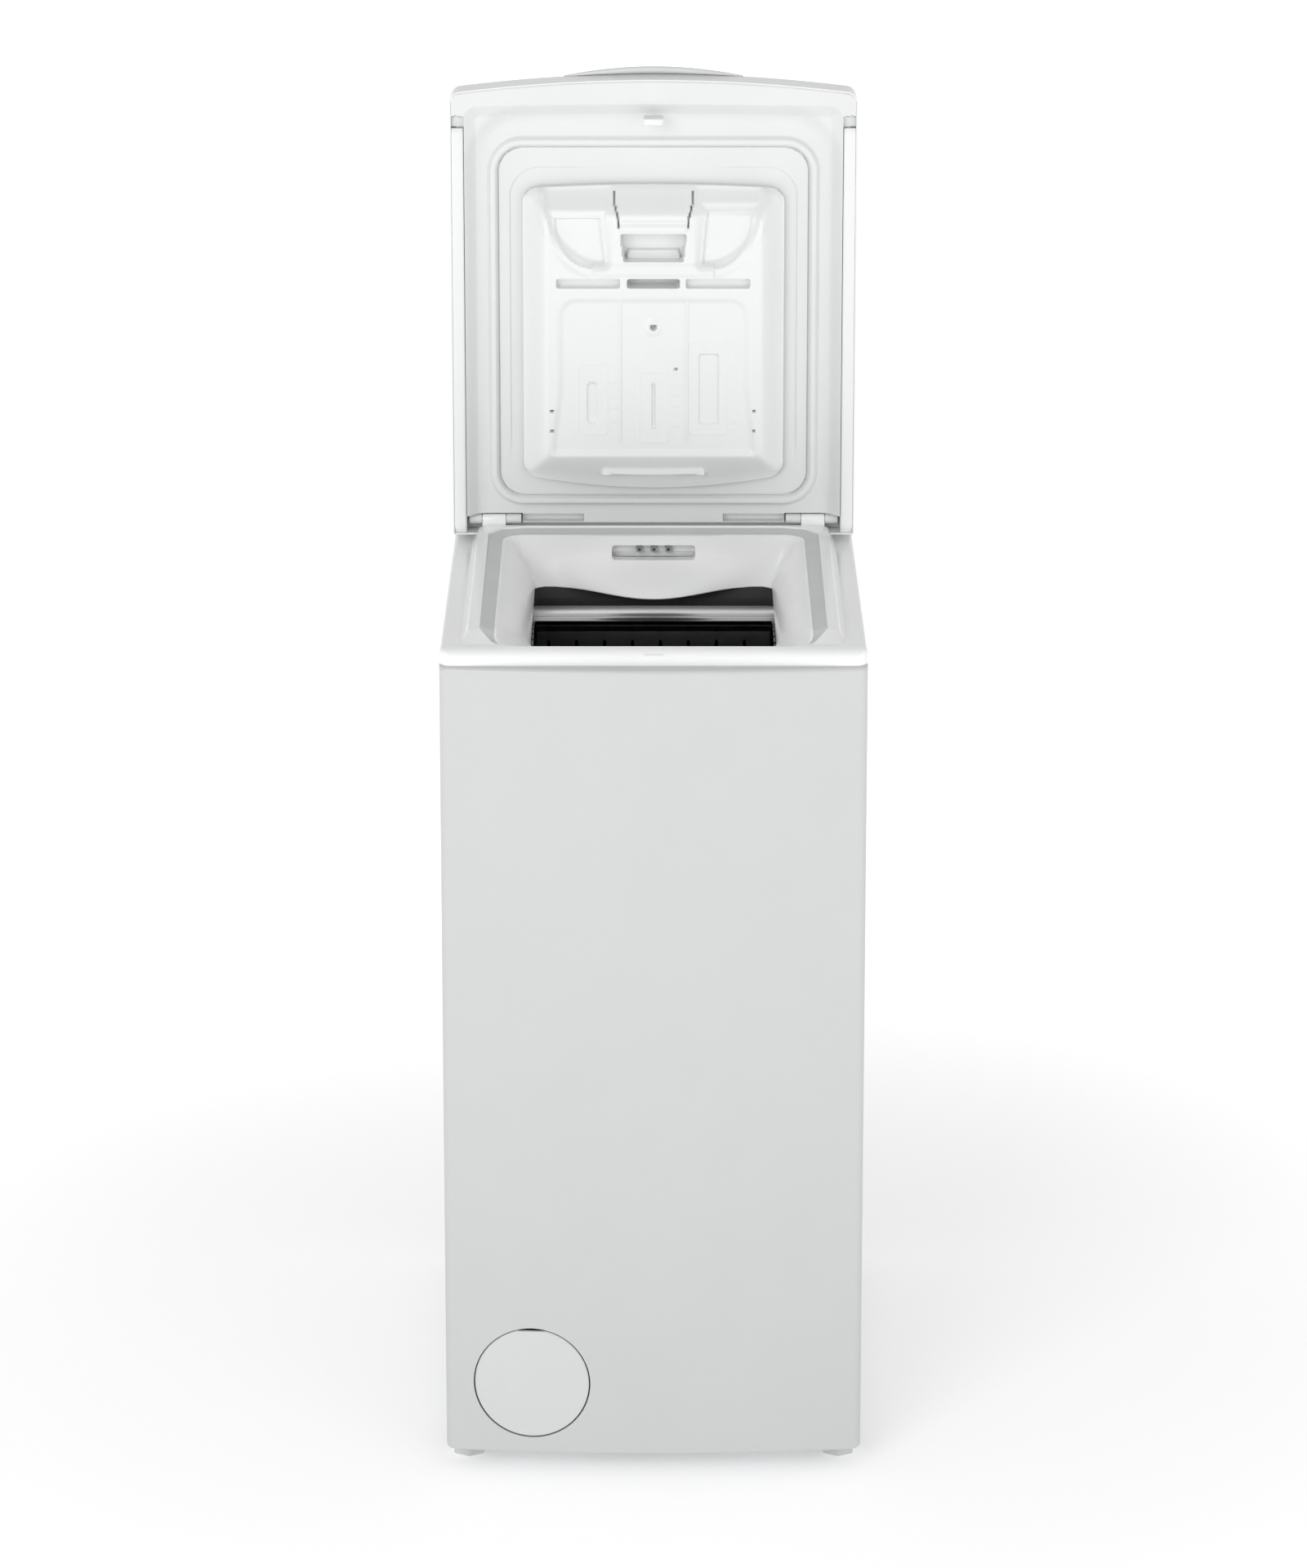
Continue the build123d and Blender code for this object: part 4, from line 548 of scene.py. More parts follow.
# ---------------------------------------------------------------- top frame, seal and collar
OPENING_RIGHT = [(128, -271), (150, -262), (163, -238), (164, 112), (150, 133), (128, 139)]
OPENING = OPENING_RIGHT + [(-x, y) for x, y in reversed(OPENING_RIGHT)]
RIM_HALF, RIM_REAR, RIM_FRONT, RIM_R = 150.0, 126.0, -262.0, 22.0
FRONT_SLOPE = [(-271, 812.5), (-262, 813.5), (-236, 826.0), (139, 830.0)]
PLATFORM_LINE = [(-271, 820.3), (-262, 820.8), (-238, 828.6), (-221, 830.5), (PLATFORM_REAR, 836.0)]
NECK_X, NECK_Y = 119.8, 103.9
BAND_X = 136.8


def opening_outline(grow=0.0):
    """The frame's opening, its ends moved outwards by grow and its sides by grow's size."""
    moved = [(x + math.copysign(grow, x), y + (grow if y > 0 else -grow)) for x, y in OPENING]
    return rounded_polygon(moved, 12.0)


def frame_height(x, y):
    """The top frame's surface: ledges at the sides, a raised platform, and the rolled front edge."""
    t = min(1.0, max(0.0, (frame_low.y + ROLL_DEPTH - y) / ROLL_DEPTH))
    front = SEAM_Z + ROLL_RISE * (1 - t ** 2.6) ** (1 / 2.6)
    platform = piecewise(PLATFORM_LINE, y)
    platform = DECK_Z + (platform - DECK_Z) * (1 - smooth(PLATFORM_REAR - 1.5, PLATFORM_REAR, y))
    edge = 1 - smooth(PLATFORM_HALF - PLATFORM_EDGE, PLATFORM_HALF, abs(x))
    top = LEDGE_Z + (platform - LEDGE_Z) * edge
    drop = fillet_drop(abs(x) - (HALF - 4.5), 4.5)
    crest = smooth(-262.0, -266.0, y)
    height = top * (1 - crest) + min(front, LEDGE_Z + 0.3) * crest
    return max(SEAM_Z + 0.4, height - drop)


def top_frame():
    """The moulded top with its opening, its hinge posts and a small raised mark on its front edge."""
    bm = bmesh.new()
    low, high = frame_low, frame_high
    xs = lines(-HALF, HALF, 12.0, bands=[(-HALF, -174, 0.7), (174, HALF, 0.7)])
    front = [low.y + ROLL_DEPTH * (1 - math.sin(math.pi / 2 * i / 16)) for i in range(17)]
    ys = sorted(set(lines(low.y + 18, high.y, 12.0, bands=[(-267, -219, 1.5), (141, 146, 0.4)])) | set(front))
    corner = 12.0

    def place(x, y, z):
        trim = fillet_drop(low.y + corner - y, corner)
        side = smooth(HALF - 24, HALF, abs(x)) * trim
        return (math.copysign(abs(x) - side, x) * MM, y * MM, z * MM)

    relief(bm, xs, ys, frame_height, SEAM_Z, place)
    piece = finish_mesh(bm, "top_frame_shell", "cabinet", "white_frame", ("top_frame",))
    tool = bmesh.new()
    prism(tool, opening_outline(), SEAM_Z - 10, HINGE_Z + 10)
    cut(piece, tool)
    bm = bmesh.new()
    bm.from_mesh(piece.data)
    for side in (-1, 1):
        x0, x1 = sorted((side * 147.4, side * 171.0))
        rod(bm, (x0, HINGE_Y, HINGE_Z), (x1, HINGE_Y, HINGE_Z), HINGE_R, 0.8)
        rounded_box(bm, (x0, HINGE_Y - 4.9, DECK_Z - 3), (x1, HINGE_Y + 4.9, HINGE_Z), 0.8)
    rounded_box(bm, (-9, low.y - 0.35, 814.2), (9, low.y + 4, 815.2), 0.25)
    bm.to_mesh(piece.data)
    bm.free()
    shade(piece, 35)


def seal():
    """The rubber band round the opening, sloping down to the funnel's rim."""
    bm = bmesh.new()
    xs = lines(-168, 168, 14.0, bands=[(-168, -120, 1.5), (120, 168, 1.5)])
    ys = lines(-274, 141, 14.0, bands=[(-274, -220, 1.5), (96, 141, 1.5)])

    def height(x, y):
        d = box_distance(x, y, RIM_HALF, RIM_FRONT, RIM_REAR, RIM_R)
        rise = 3.6 * smooth(-1.0, 14.0, d) + 0.5
        front = piecewise([(-271, 818.0), (-262, 818.6), (-237, 829.0)], y) if y < -237 else 1e9
        return min(piecewise(FRONT_SLOPE, y) + rise, front)

    relief(bm, xs, ys, height, lambda x, y: piecewise(FRONT_SLOPE, y) - 1.5,
           lambda x, y, z: (x * MM, y * MM, z * MM))
    piece = finish_mesh(bm, "seal_band", "cabinet", "grey_rubber", ("lid_seal",))
    tool = bmesh.new()
    prism(tool, opening_outline(-0.15), 800, 900)
    cut(piece, tool, "INTERSECT")
    tool = bmesh.new()
    rim = [(-RIM_HALF, RIM_FRONT), (RIM_HALF, RIM_FRONT), (RIM_HALF, RIM_REAR), (-RIM_HALF, RIM_REAR)]
    prism(tool, rounded_polygon(rim, RIM_R), 800, 900)
    cut(piece, tool)
    shade(piece, 35)


def ring_points(half, front, rear, radius, run=40, turn=14):
    """A rounded rectangle's points and how much each belongs to the rear, side and front."""
    out = []
    corners = ((half - radius, rear - radius, 0), (-half + radius, rear - radius, 90),
               (-half + radius, front + radius, 180), (half - radius, front + radius, 270))
    for k, (cx, cy, start) in enumerate(corners):
        for i in range(turn + 1):
            a = math.radians(start + 90 * i / turn)
            side = abs(math.cos(a)) ** 2
            out.append((cx + radius * math.cos(a), cy + radius * math.sin(a), math.sin(a), side))
        nx, ny, nstart = corners[(k + 1) % 4]
        a = math.radians(start + 90)
        n = math.radians(nstart)
        here = (cx + radius * math.cos(a), cy + radius * math.sin(a))
        there = (nx + radius * math.cos(n), ny + radius * math.sin(n))
        for i in range(1, run):
            t = i / run
            out.append((here[0] + (there[0] - here[0]) * t, here[1] + (there[1] - here[1]) * t,
                        math.sin(a), abs(math.cos(a))))
    return out


def collar():
    """The funnel between lid opening and drum: steep concave walls, and a rear lip that swells forward."""
    rim = ring_points(RIM_HALF - 2.6, RIM_FRONT + 1.6, RIM_REAR - 2.6, RIM_R - 2.6)
    mouth = ring_points(118.0, -130.0, 110.0, 11.0)

    def loop(w, out, mouth_drop=0.0):
        """One level of the wall, w from 0 at the rim to 1 at the mouth, moved outwards."""
        points = []
        for (rx, ry, toward, side), (mx, my, _, _) in zip(rim, mouth):
            top_z = piecewise(FRONT_SLOPE, ry) + 0.3 - (0.0 if out else 0.8 * (1 - min(1.0, 9 * w)))
            side_h = 1 - (1 - w) ** 1.55
            end_h = w ** 2.3 if toward > 0 else w ** 1.2
            h = side * side_h + (1 - side) * end_h
            x, y = rx + (mx - rx) * h, ry + (my - ry) * h
            z = top_z + (MOUTH_Z - top_z) * w
            if toward > 0.5:
                swell = 0.5 + 0.5 * math.cos(math.pi * min(abs(mx), 100.0) / 100.0)
                y -= 50.0 * swell * smooth(0.35, 1.05, w) ** 1.2
            if out:
                thick = out
                if toward > 0.5 and abs(mx) < 60 and out > 1:
                    thick = out + 13.0 * (1 - smooth(0.62, 0.9, w)) * (1 - smooth(44, 60, abs(mx)))
                nx = math.copysign(side ** 0.5, rx)
                ny = toward
                x, y = x + nx * thick, y + ny * thick
                z -= mouth_drop
            points.append((x * MM, y * MM, z * MM))
        return points

    levels = [i / 28 for i in range(29)]
    inner = [loop(w, 0.0) for w in levels]
    lip = [loop(1.0, 0.6, 0.9), loop(1.0, 1.6, 0.9)]
    outer = [loop(w, 2.5) for w in reversed(levels)]
    bm = bmesh.new()
    rings(bm, inner + lip + outer, close=True)
    # The funnel's paler white is painted light for the shade it sits in.
    piece = finish_mesh(bm, "collar_funnel", "cabinet", "white_funnel_painted_light", ("tub_collar",))
    half, z0, z1, rear = 41.6, 806.0, 820.0, 137.0
    tool = bmesh.new()
    outline = rounded_polygon([(-half, z0), (half, z0), (half, z1), (-half, z1)], 3.2)
    rings(tool, [[(x * MM, y * MM, z * MM) for x, z in outline] for y in (100.0, rear)],
          caps=True)
    cut(piece, tool)
    slot = bmesh.new()
    rounded_box(slot, (-10.6, RIM_FRONT - 4, 799.0), (10.6, RIM_FRONT + 17, 835.0), 0.8)
    cut(piece, slot)
    shade(piece, 35)


# Outline of a thin black sheet round the tub's neck: painted shade for the dark under the funnel's lip.
SHADE_SHEET_LINE = [(771.2, -0.8), (771.2, 0.5), (768.0, 0.8), (765.0, 0.8), (763.0, 0.5), (763.0, -0.8)]
BAND_LINE = [(762.8, -0.8), (762.8, 0.1), (760.0, 0.25), (757.0, 0.8), (754.6, 1.7), (753.6, 2.5),
             (752.8, 2.9), (752.3, 2.5), (751.4, 2.9), (750.2, 3.8), (749.2, 5.0), (748.6, 5.4),
             (748.0, 5.2), (747.6, 4.2), (747.5, -0.8)]


def tub_mouth():
    """The tub's neck seen inside the funnel: a thin black sheet, painted shade for the dark under the funnel's
    lip, over a bright pressed steel band.
    """
    # The first piece, the black sheet, is painted shade; the second is the steel band.
    for name, material, half, line in (("neck_shade_sheet", "black_rubber", NECK_X, SHADE_SHEET_LINE),
                                       ("neck_band", "neck_steel", BAND_X, BAND_LINE)):
        loops = []
        for z, proud in line:
            points = ring_points(half, -NECK_Y + proud, NECK_Y - proud, 5.0, run=8, turn=8)
            loops.append([(x * MM, y * MM, z * MM) for x, y, _, _ in points])
        bm = bmesh.new()
        rings(bm, loops, close=True)
        finish_mesh(bm, name, "tub", material, angle=25)


# ---------------------------------------------------------------- lid
def lid_bow(x):
    """The height of the lid's bowed front edge at x, without its corners."""
    return LID_CORNER + (LID_TOP - LID_CORNER) * (1 - (x / HALF) ** 2)


def lid_edge(x):
    """The same with its rounded corners."""
    return lid_bow(x) - fillet_drop(abs(x) - (HALF - LID_CORNER_R), LID_CORNER_R)


def lid_outline(count=20):
    """The lid's outline in (x, u), anticlockwise from its lower right corner."""
    right = []
    corner = 3.0
    for i in range(7):
        a = math.radians(-90 + 90 * i / 6)
        right.append((HALF - corner + corner * math.cos(a), LID_LOW + corner + corner * math.sin(a)))
    for u in (-4, 0, 4, 10, 30, 60, 120, 180, 240, 300, 360, 400):
        right.append((HALF, float(u)))
    for i in range(9):
        a = math.radians(90 * i / 8)
        x = HALF - LID_CORNER_R + LID_CORNER_R * math.cos(a)
        right.append((x, lid_bow(x) - LID_CORNER_R + LID_CORNER_R * math.sin(a)))
    reach = HALF - LID_CORNER_R
    right += [(x, lid_bow(x)) for x in (reach - reach * i / count for i in range(1, count + 1))]
    left = [(-x, u) for x, u in reversed(right[:-1])]
    return right + left


def inset_loop(points, amount):
    """The outline moved inwards along its normals."""
    out = []
    count = len(points)
    for i in range(count):
        a, b = Vector(points[i - 1]), Vector(points[(i + 1) % count])
        d = (b - a).normalized()
        out.append((points[i][0] - d.y * amount, points[i][1] + d.x * amount))
    return out


def lid_outer():
    """The lid's outer shell: a tray shape with a rounded back edge."""
    outline = lid_outline()

    def rim_height(x, u):
        if u < LID_LOW + 0.5 and abs(x) < HALF - 3:
            return -9.5
        if u < 0:
            return min(LID_RIM, math.sqrt(max(0.0, LID_RIM ** 2 - u * u)) - 0.3)
        return LID_RIM

    def loop(inset, v=None, rim=False):
        moved = inset_loop(outline, inset)
        return [on_lid(x, u, (rim_height(*o) if rim else 0) + v) for (x, u), o in zip(moved, outline)]

    radius = 7.0
    rounding = []
    for i in range(9):
        a = math.pi / 2 * i / 8
        rounding.append(loop(radius * (1 - math.cos(a)), LID_BACK + radius * (1 - math.sin(a))))
    bm = bmesh.new()
    inside = [loop(LID_SKIN, LID_BACK + LID_SKIN), loop(LID_SKIN, -0.5, rim=True)]
    outside = [loop(LID_SKIN * 0.75, 0.0, rim=True), loop(LID_SKIN * 0.25, 0.0, rim=True),
               loop(0.0, -0.5, rim=True)]
    rings(bm, inside + outside + rounding, caps=True)
    finish_mesh(bm, "lid_shell", "lid", "white_gloss", ("lid_outer",), angle=35)


RIDGE_HALF, RIDGE_LOW, RIDGE_HIGH, RIDGE_R = 158.0, 20.0, 381.0, 29.0
LINE_HALF, LINE_HIGH = 142.0, 356.0
LINER_BEND, LINER_TOP = 395.0, 443.0


def liner_height(x, u):
    """The lid's inner face: recess, cove, rim land, sealing ridge and fine moulded lines."""
    ax = abs(x)
    top = 418.0 + 3.0 * (1 - (x / HALF) ** 2)
    side = 186.5
    edge = -box_distance(x, u, side, -200.0, top, 14.0)
    inner = -box_distance(x, u, side - 12.0, -200.0, top - 12.0, 44.0)
    run = 27.0 if ax < side - 44.0 else 25.0
    s = min(edge / 12.0, 1.0) * 0.35 + smooth(-12.0, run - 12.0, inner) * 0.65
    h = LID_BASE + (LID_RIM - LID_BASE) * (1 - min(1.0, max(0.0, s))) ** 1.6
    if edge < 0:
        h = LID_RIM
    if u > 6.0:
        h = min(h, HINGE_Z - frame_height(x, HINGE_Y - u) - CLOSED_GAP)
    if ax > 186.0:
        if u < 397.0:
            h = 1.0
        elif u < 408.5:
            h = 13.0
    d = box_distance(x, u, RIDGE_HALF, RIDGE_LOW, RIDGE_HIGH, RIDGE_R)
    h += 4.6 * band(-1.5, 1.5, 4.5, d) - 2.2 * band(-5.6, -4.8, 0.5, d)
    inside = box_distance(x, u, LINE_HALF, -100.0, LINE_HIGH, 30.0)
    fade = smooth(38.0, 95.0, ax) if u > LINE_HIGH - 30 else 1.0
    h -= 1.1 * (1 - smooth(-1.0, 0.0, inside)) * smooth(-26.0, -4.0, inside) * fade * smooth(50, 90, u)
    low = -4.0 if ax < 131.0 else 5.5
    h = -9.6 + (h + 9.6) * smooth(low - 0.6, low + 0.6, u)
    if ax < 131.5:
        slot = band(70.0, 130.0, 0.5, ax) * band(-1.6, 5.0, 0.5, u)
        h -= 9.0 * slot
    edge = lid_edge(x) - LID_SKIN - u
    return h - 0.9 * (1 - smooth(0.0, 1.4, edge))


def lid_inner():
    """The lid's liner, with its hinge knuckles."""
    half = HALF - LID_SKIN - 0.15
    fine_x = [(66.0, 74.0, 0.8), (112.0, 188.0, 0.9)]
    bands_x = fine_x + [(-b, -a, s) for a, b, s in fine_x]
    xs = lines(-half, half, 5.0, (-131.0, 131.0, 186.0, -186.0), bands=bands_x)
    us = lines(LID_LOW + 2.2, LINER_TOP, 7.0, (-4.0, 5.5, 397.0, 407.5),
               bands=[(-8, 9, 0.8), (14, 54, 1.0), (320, 443, 1.0), (56, 70, 1.5)])

    def fitted(x, u):
        """Bends the grid's upper lines to the bowed edge."""
        high = lid_edge(x) - LID_SKIN - 0.15
        if u > LINER_BEND:
            u = LINER_BEND + (u - LINER_BEND) * (high - LINER_BEND) / (LINER_TOP - LINER_BEND)
        return u

    bm = bmesh.new()
    relief(bm, xs, us, lambda x, u: liner_height(x, fitted(x, u)), LID_BACK + LID_SKIN + 0.1,
           lambda x, u, v: on_lid(x, fitted(x, u), v))
    for side in (-1, 1):
        for knuckle in ((132.0, 147.0), (171.4, 184.0)):
            x0, x1 = sorted(side * k for k in knuckle)
            rod(bm, (x0, HINGE_Y, HINGE_Z), (x1, HINGE_Y, HINGE_Z), HINGE_R, 0.7)
            rounded_box(bm, (x0, HINGE_Y, HINGE_Z - 4.8), (x1, HINGE_Y + 12, HINGE_Z + 4.8), 0.7)
    finish_mesh(bm, "lid_liner", "lid", "white_liner", ("lid_inner",), angle=32)


def lid_strips():
    """The two rails along the lid's sides, rounded where they end by the hinge."""
    bm = bmesh.new()
    for side in (-1, 1):
        loops = []
        stations = [LID_LOW + 2.0 + 12 * (1 - math.cos(math.pi / 2 * i / 8)) for i in range(9)]
        stations += [40.0, 120.0, 200.0, 280.0, 360.0, 391.0, 394.0, 396.0, 396.6]
        for u in stations:
            top = LID_RIM - 0.1
            if u < 0:
                top = min(top, math.sqrt(max(0.0, 20.0 ** 2 - u * u)) - 0.4)
            top -= 3.0 * (1 - smooth(-10.8, -2.0, u)) + 2.0 * smooth(392.0, 397.0, u)
            x0, x1, r = 186.2, 198.0, 2.4
            base = LID_BASE - 1.5 if u > 6.5 else -2.0
            section = [(x0, base), (x0, top - r)]
            section += [(x0 + r - r * math.cos(a), top - r + r * math.sin(a)) for a in (0.5, 1.0, 1.5)]
            section += [(x1 - 0.3, top), (x1, top - 0.3), (x1, base)]
            loops.append([on_lid(side * x, u, v) for x, v in section])
        rings(bm, loops, caps=True)
    finish_mesh(bm, "lid_rails", "lid", "white_satin", ("lid_side_strips",), angle=40)


def lid_grip():
    """The crescent lip in the middle of the lid's front edge, hollowed under its crest for the fingers."""
    bm = bmesh.new()
    half = 88.0
    loops = []
    count = 64
    for i in range(count + 1):
        x = -half + 2 * half * i / count
        full = 1 - (x / half) ** 2
        foot = lid_edge(x) - 4.0
        crest = lid_edge(x) + 6.95 * full + 0.05
        back = LID_BACK + 0.6
        front = back + 2.5 + 8.0 * full ** 0.5
        tall = crest - lid_edge(x)
        r = min(3.0, tall / 2 + 0.2)
        section = [(foot, back + 1.0), (crest - r, back), (crest - 0.3 * r, back + 0.3 * r),
                   (crest, back + r), (crest, front - r * 0.8), (crest - 0.25 * r, front - 0.25 * r),
                   (crest - 0.9 * r, front), (crest - 0.9 * r - 0.35 * tall, front - 1.2 * full),
                   (lid_edge(x) - 0.2, front - 5.0 * full - 1), (foot, front - 5.5 * full - 1)]
        loops.append([on_lid(x, u, v) for u, v in section])
    rings(bm, loops, caps=True)
    finish_mesh(bm, "lid_grip", "lid", "white_gloss", ("lid_handle",), angle=50)


def latch_hook():
    """The hook at the lid's front edge, with a hollow in its underside."""
    bm = bmesh.new()
    rounded_box(bm, (-9.5, HINGE_Y - 37.5, HINGE_Z + 402.8), (9.5, HINGE_Y - 15.0, HINGE_Z + 409.3), 1.0)
    piece = finish_mesh(bm, "latch_hook", "lid", "white_satin", ("lid_latch_hook",), angle=40)
    tool = bmesh.new()
    rounded_box(tool, (-6.5, HINGE_Y - 32.0, HINGE_Z + 400.0), (6.5, HINGE_Y - 24.0, HINGE_Z + 406.5), 0.8)
    cut(piece, tool)
    shade(piece, 40)


# ---------------------------------------------------------------- dispenser
TRAY_HALF = 128.6
TRAY_FLANGE = 12.0
TRAY_CORNER = 14.0
FACE = 42.0
LEVER_BEND, LEVER_FALL = 309.0, 1.02


def tray_low(x):
    """The tray's lower edge, which is bowed."""
    return 48.0 - 13.0 * (1 - (x / TRAY_HALF) ** 2)


def tray_high(x):
    """The tray's upper edge, bowed less."""
    return 336.0 + 4.0 * (1 - (x / TRAY_HALF) ** 2)


GAUGES = ((-60.5, 14.5, 95.0, 166.0, 5.2, 105.0, 147.5), (0.0, 14.5, 87.0, 158.0, 2.0, 100.0, 146.0),
          (54.5, 19.0, 95.5, 189.0, 10.5, 104.0, 176.0))
PIN_HOLES = ((-100.0, 118.5), (-100.0, 98.4), (99.2, 118.5), (99.2, 98.4), (22.3, 160.2))
POUR_SLOTS = ((-95.6, -32.8), (-26.0, 25.8), (31.7, 95.0))


def window_edge(x, u, inward, low, high):
    """Distance outside a pouring window: square to the middle, and one long curve away from it."""
    ax = abs(x)
    inner = (inward - 5.0 * (high - u) / (high - low)) - ax
    sweep = (ax - (inward + 8.0)) / 38.0
    fall = (high - u) / (high - low)
    r = math.hypot(max(0.0, sweep), max(0.0, fall - 0.05))
    curve = (r - 1.0) * 36.0 if sweep > 0 else (fall - 1.0) * (high - low)
    return max(inner, curve, u - high)


def cover_height(x, u):
    """The dispenser's face: soft sides, windows in a moulded arch, slots, a sunk panel and level gauges."""
    ax = abs(x)
    low = tray_low(x)
    high = tray_high(x)
    rim = -box_distance(x, (u - low) / (high - low) * 290.0, TRAY_HALF, 0.0, 290.0, 15.0)
    side = (TRAY_HALF - 2.0 - ax) / 20.5
    foot = (u - low - 3.0) / (70.0 - low)
    head = (high - u) / 26.0
    t = -math.log(math.exp(-8 * side) + math.exp(-8 * foot) + math.exp(-8 * head)) / 8
    rise = smooth(0.0, 1.05, min(t, 1.1)) * 0.35 + 0.65 * min(1.0, max(0.0, t))
    h = TRAY_FLANGE + 2.4 * smooth(0.0, 3.0, rim) + (FACE - 1.4 - TRAY_FLANGE - 2.4) * rise
    arch_half = 96.0 + 17.0 * smooth(256.0, 330.0, u)
    arch = box_distance(x, u, arch_half, 257.5, 420.0, 46.0)
    h += 2.8 * band(-4.0, -1.0, 6.0, arch) * smooth(0.0, 0.2, head)
    h -= 2.6 * (1 - smooth(-11.0, -4.0, arch)) * smooth(0.02, 0.12, head) * smooth(38.0, 45.0, ax)
    window = window_edge(x, u, 52.0, 263.5, 311.0 if x < 0 else 318.0)
    h -= 4.5 * (1 - smooth(0.0, 8.0, window)) * smooth(39.0, 46.0, ax)
    h -= 5.5 * (1 - smooth(-2.4, 0.0, window))
    centre_half = 29.5 + 3.0 * smooth(267.0, 297.0, u)
    centre = box_distance(x, u, centre_half, 268.0, 296.0, 3.0)
    if centre < 0:
        ledge = box_distance(x, u, 25.5, 250.0, 277.0, 4.0)
        floor = 22.0 if ledge < 0 else 17.0 + 5.0 * (1 - smooth(0.0, 0.8, ledge))
        h += (floor - h) * (1 - smooth(-0.9, 0.0, centre))
    for (x0, x1), floor in zip(POUR_SLOTS, (31.0, 17.0, 31.0)):
        slot = box_distance(x - (x0 + x1) / 2, u, (x1 - x0) / 2, 242.0, 251.2, 3.0)
        h += (min(h, floor) - h) * (1 - smooth(-0.6, 0.0, slot))
    sunk = box_distance(x, u, 95.0 + 7.0 * smooth(150.0, 75.0, u), 40.0, 233.0, 20.0)
    h -= 2.6 * (1 - smooth(-7.0, 0.0, sunk)) * smooth(72.0, 80.0, u)
    boss = math.hypot(x, u - 202.6)
    if boss < 12.0:
        h += 1.2 * band(3.2, 6.5, 3.5, boss)
        h -= 9.0 * (1 - smooth(2.2, 2.9, boss))
    for gx, half, low_u, high_u, slot_half, slot_low, slot_high in GAUGES:
        edge = box_distance(x - gx, u, half, low_u, high_u, 4.0)
        h += 0.45 * band(-0.6, 0.4, 0.9, edge)
        groove = box_distance(x - gx, u, slot_half, slot_low, slot_high, min(slot_half, 4.5))
        h -= 2.6 * (1 - smooth(-1.4, 0.0, groove))
        step = 13.2 if gx < 0 else 10.6
        along = (u - slot_low) / step
        tick = abs(along - round(along)) * step
        if 3.5 < x - gx - half < 11.5 and slot_low - 1.0 < u < slot_high + 1.0:
            h -= 0.5 * (1 - smooth(0.6, 1.3, tick)) * band(4.5, 10.5, 1.0, x - gx - half)
    for hx, hu in PIN_HOLES:
        h -= 8.0 * (1 - smooth(0.8, 1.5, math.hypot(x - hx, u - hu)))
    lever_half = 33.5 + 5.5 * smooth(304.0, 330.0, u)
    if 302.5 < u < 335.0:
        h -= 9.0 * (1 - smooth(0.5, 1.0, abs(ax - lever_half)))
    clip = band(51.5, 62.0, 0.8, u) * (1 - smooth(47.0 + (62.0 - u) * 0.4, 48.5 + (62.0 - u) * 0.4, ax))
    h += (max(h, 30.0) - h) * clip
    return max(TRAY_FLANGE + 0.6, min(h, FACE))


def tray_point(x, u):
    """Draws the grid's corners in to the tray's bowed, round-cornered outline."""
    low, high = tray_low(x), tray_high(x)
    if u < 75.0:
        u = low + (u - 35.0) * (75.0 - low) / 40.0
    elif u > 320.0:
        u = 320.0 + (u - 320.0) * (high - 320.0) / 20.0
    r = TRAY_CORNER
    a = (abs(x) - (TRAY_HALF - r)) / r
    up = u > 200.0
    b = (u - (high - r)) / r if up else (low + r - u) / r
    if a > 0 and b > 0:
        pull = max(a, b) / math.hypot(a, b)
        x = math.copysign(TRAY_HALF - r + a * r * pull, x)
        u = high - r + b * r * pull if up else low + r - b * r * pull
    return x, u


def tray():
    """The dispenser's tray with the same round corners, made from the CAD tray."""
    source = frame["nodes"]["dispenser_tray"]
    piece = source.copy()
    piece.data = source.data.copy()
    piece.name = "tray_pan"
    bpy.context.scene.collection.objects.link(piece)
    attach(piece, "dispenser")
    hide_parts("dispenser_tray")
    r = TRAY_CORNER
    for side in (-1, 1):
        for level, way in ((tray_low(TRAY_HALF), -1), (tray_high(TRAY_HALF), 1)):
            cx, cu = side * (TRAY_HALF - r), level - way * r
            turn = [math.pi / 2 * i / 10 for i in range(11)]
            outline = [(cx + side * r * math.cos(t), cu + way * r * math.sin(t)) for t in turn]
            outline += [(cx, cu + way * (r + 14)), (cx + side * (r + 6), cu + way * (r + 14)),
                        (cx + side * (r + 6), cu)]
            tool = bmesh.new()
            loops = [[on_lid(x, u, v) for x, u in outline] for v in (3.0, 14.0)]
            rings(tool, loops, caps=True)
            cut(piece, tool)
    shade(piece, 35)


def dispenser_cover():
    """The dispenser's moulded face."""
    edges_x = [c for gx, half, *_ in GAUGES for c in (gx - half, gx + half)]
    edges_x += [s * e for s in (-1, 1) for e in (48.4, 97.6)] + [e for pair in POUR_SLOTS for e in pair]
    edges_u = [230.0, 242.0, 251.2, 268.3, 296.0, 318.0]
    xs = lines(-TRAY_HALF, TRAY_HALF, 1.45, edges_x)
    us = lines(35.0, 340.0, 1.55, edges_u)
    bm = bmesh.new()
    relief(bm, xs, us, lambda x, u: cover_height(*tray_point(x, u)), TRAY_FLANGE,
           lambda x, u, v: on_lid(*tray_point(x, u), v))
    finish_mesh(bm, "dispenser_face", "dispenser", "white_satin", ("dispenser_cover",), angle=38)


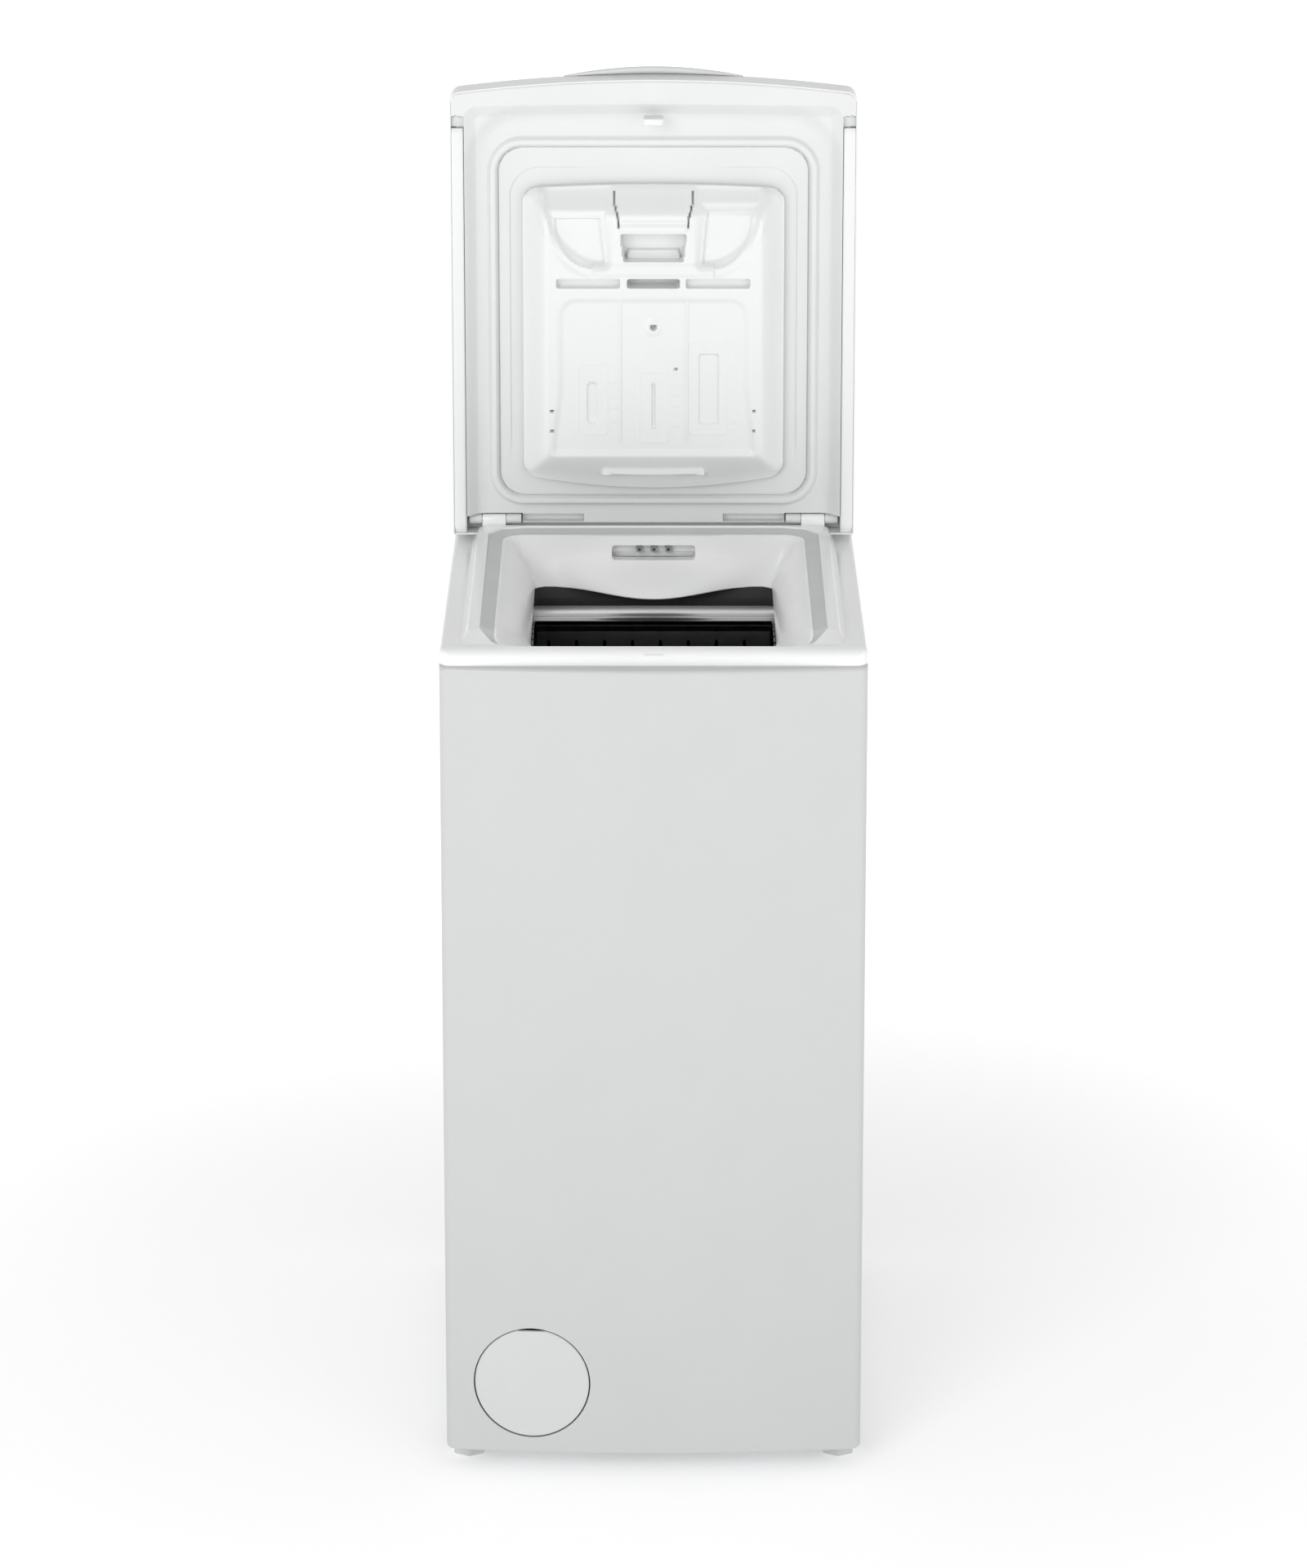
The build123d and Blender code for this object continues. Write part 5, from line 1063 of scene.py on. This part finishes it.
def dispenser_lever():
    """The press tab between the pouring windows, dished along its lip."""
    bm = bmesh.new()
    xs = lines(-37.5, 37.5, 2.5)
    us = lines(299.0, 331.0, 1.6)
    base = 20.0

    def slope(u):
        return FACE - max(0.0, u - LEVER_BEND) * LEVER_FALL

    def height(x, u):
        lip = 2.2 * band(299.0, 303.0, 3.5, u)
        return slope(u) - 0.6 + lip - fillet_drop(abs(x) - 34.0, 3.5) * 0.5

    def place(x, u, v):
        taper = (33.0 + 5.0 * smooth(302.0, 330.0, u)) / 37.5
        return on_lid(x * taper, u, v)

    relief(bm, xs, us, height, base, place)
    for v in bm.verts:
        back = HINGE_Y - v.co.y / MM
        u = v.co.z / MM - HINGE_Z
        if abs(back - base) < 0.01:
            v.co.y = (HINGE_Y - (slope(u) - 4.0)) * MM
    finish_mesh(bm, "dispenser_tab", "dispenser_lever", "white_satin", ("dispenser_lever",), angle=40)


for build in (front_panel, filter_cover, side_panels, top_frame, seal, collar, tub_mouth, lid_outer,
              lid_inner, lid_strips, lid_grip, latch_hook, tray, dispenser_cover, dispenser_lever):
    build()


# ---------------------------------------------------------------- floor, light and camera
def stage():
    """A wide pale floor that glows a little more away from the machine, as a lit paper sweep does."""
    bm = bmesh.new()
    reach, cells = 26.0, 8
    ticks = [-reach + 2 * reach * i / cells for i in range(cells + 1)]
    grid = [[bm.verts.new((x, y, 0.0)) for x in ticks] for y in ticks]
    for j in range(cells):
        for i in range(cells):
            bm.faces.new((grid[j][i], grid[j][i + 1], grid[j + 1][i + 1], grid[j + 1][i]))
    mesh = bpy.data.meshes.new("studio_floor")
    bm.to_mesh(mesh)
    bm.free()
    floor = bpy.data.objects.new("studio_floor", mesh)
    bpy.context.scene.collection.objects.link(floor)
    paper = surface("floor_paper", (0.93, 0.93, 0.93), 0.9, vary=0.004, vary_scale=2.0)
    shader = paper.node_tree.nodes["Principled BSDF"]
    shader.inputs["Emission Color"].default_value = (1, 1, 1, 1)
    tree = paper.node_tree
    place = tree.nodes.new("ShaderNodeNewGeometry")
    span = tree.nodes.new("ShaderNodeVectorMath")
    span.operation = "LENGTH"
    glow = tree.nodes.new("ShaderNodeMapRange")
    glow.interpolation_type = "SMOOTHSTEP"
    glow.inputs["From Min"].default_value = 0.5
    glow.inputs["From Max"].default_value = 1.9
    glow.inputs["To Min"].default_value = 0.3
    glow.inputs["To Max"].default_value = 0.6
    tree.links.new(place.outputs["Position"], span.inputs[0])
    tree.links.new(span.outputs["Value"], glow.inputs["Value"])
    tree.links.new(glow.outputs["Result"], shader.inputs["Emission Strength"])
    mesh.materials.append(paper)


def area_light(name, location, target, size, power):
    """A square lamp, size in metres and power in watts, aimed at a point."""
    data = bpy.data.lights.new(name, "AREA")
    data.energy = power
    data.size = size
    light = bpy.data.objects.new(name, data)
    bpy.context.scene.collection.objects.link(light)
    light.location = location
    light.rotation_euler = (Vector(target) - Vector(location)).to_track_quat("-Z", "Y").to_euler()


def lights():
    """A pale room, brighter near the horizon than overhead, and two large soft lamps."""
    world = bpy.data.worlds.new("studio")
    bpy.context.scene.world = world
    world.use_nodes = True
    tree = world.node_tree
    background = tree.nodes["Background"]
    place = tree.nodes.new("ShaderNodeTexCoord")
    split = tree.nodes.new("ShaderNodeSeparateXYZ")
    tree.links.new(place.outputs["Generated"], split.inputs["Vector"])
    ramp = tree.nodes.new("ShaderNodeValToRGB")
    ramp.color_ramp.elements[0].position = 0.0
    ramp.color_ramp.elements[0].color = (0.92, 0.92, 0.92, 1)
    ramp.color_ramp.elements[1].position = 0.9
    ramp.color_ramp.elements[1].color = (0.60, 0.60, 0.60, 1)
    tree.links.new(split.outputs["Z"], ramp.inputs["Fac"])
    tree.links.new(ramp.outputs["Color"], background.inputs["Color"])
    background.inputs["Strength"].default_value = 0.9
    area_light("key", (-2.0, -5.0, 2.6), (0, 0, 0.8), 2.4, 75)
    area_light("fill", (2.8, -4.5, 1.6), (0, 0, 0.7), 2.2, 22)


def camera():
    """A long lens in front of the machine, looking down at it from above its lid."""
    data = bpy.data.cameras.new("camera")
    cam = bpy.data.objects.new("camera", data)
    bpy.context.scene.collection.objects.link(cam)
    eye = Vector((0.0, -5.635, 2.24))
    data.lens = 136.5
    data.sensor_width = 36.0
    data.clip_end = 60.0
    aim = Vector((0.0, 0.0, 0.608))
    cam.location = eye
    cam.rotation_euler = (aim - eye).to_track_quat("-Z", "Y").to_euler()
    bpy.context.scene.camera = cam


stage()
lights()
camera()
bpy.context.scene.view_settings.view_transform = "Standard"
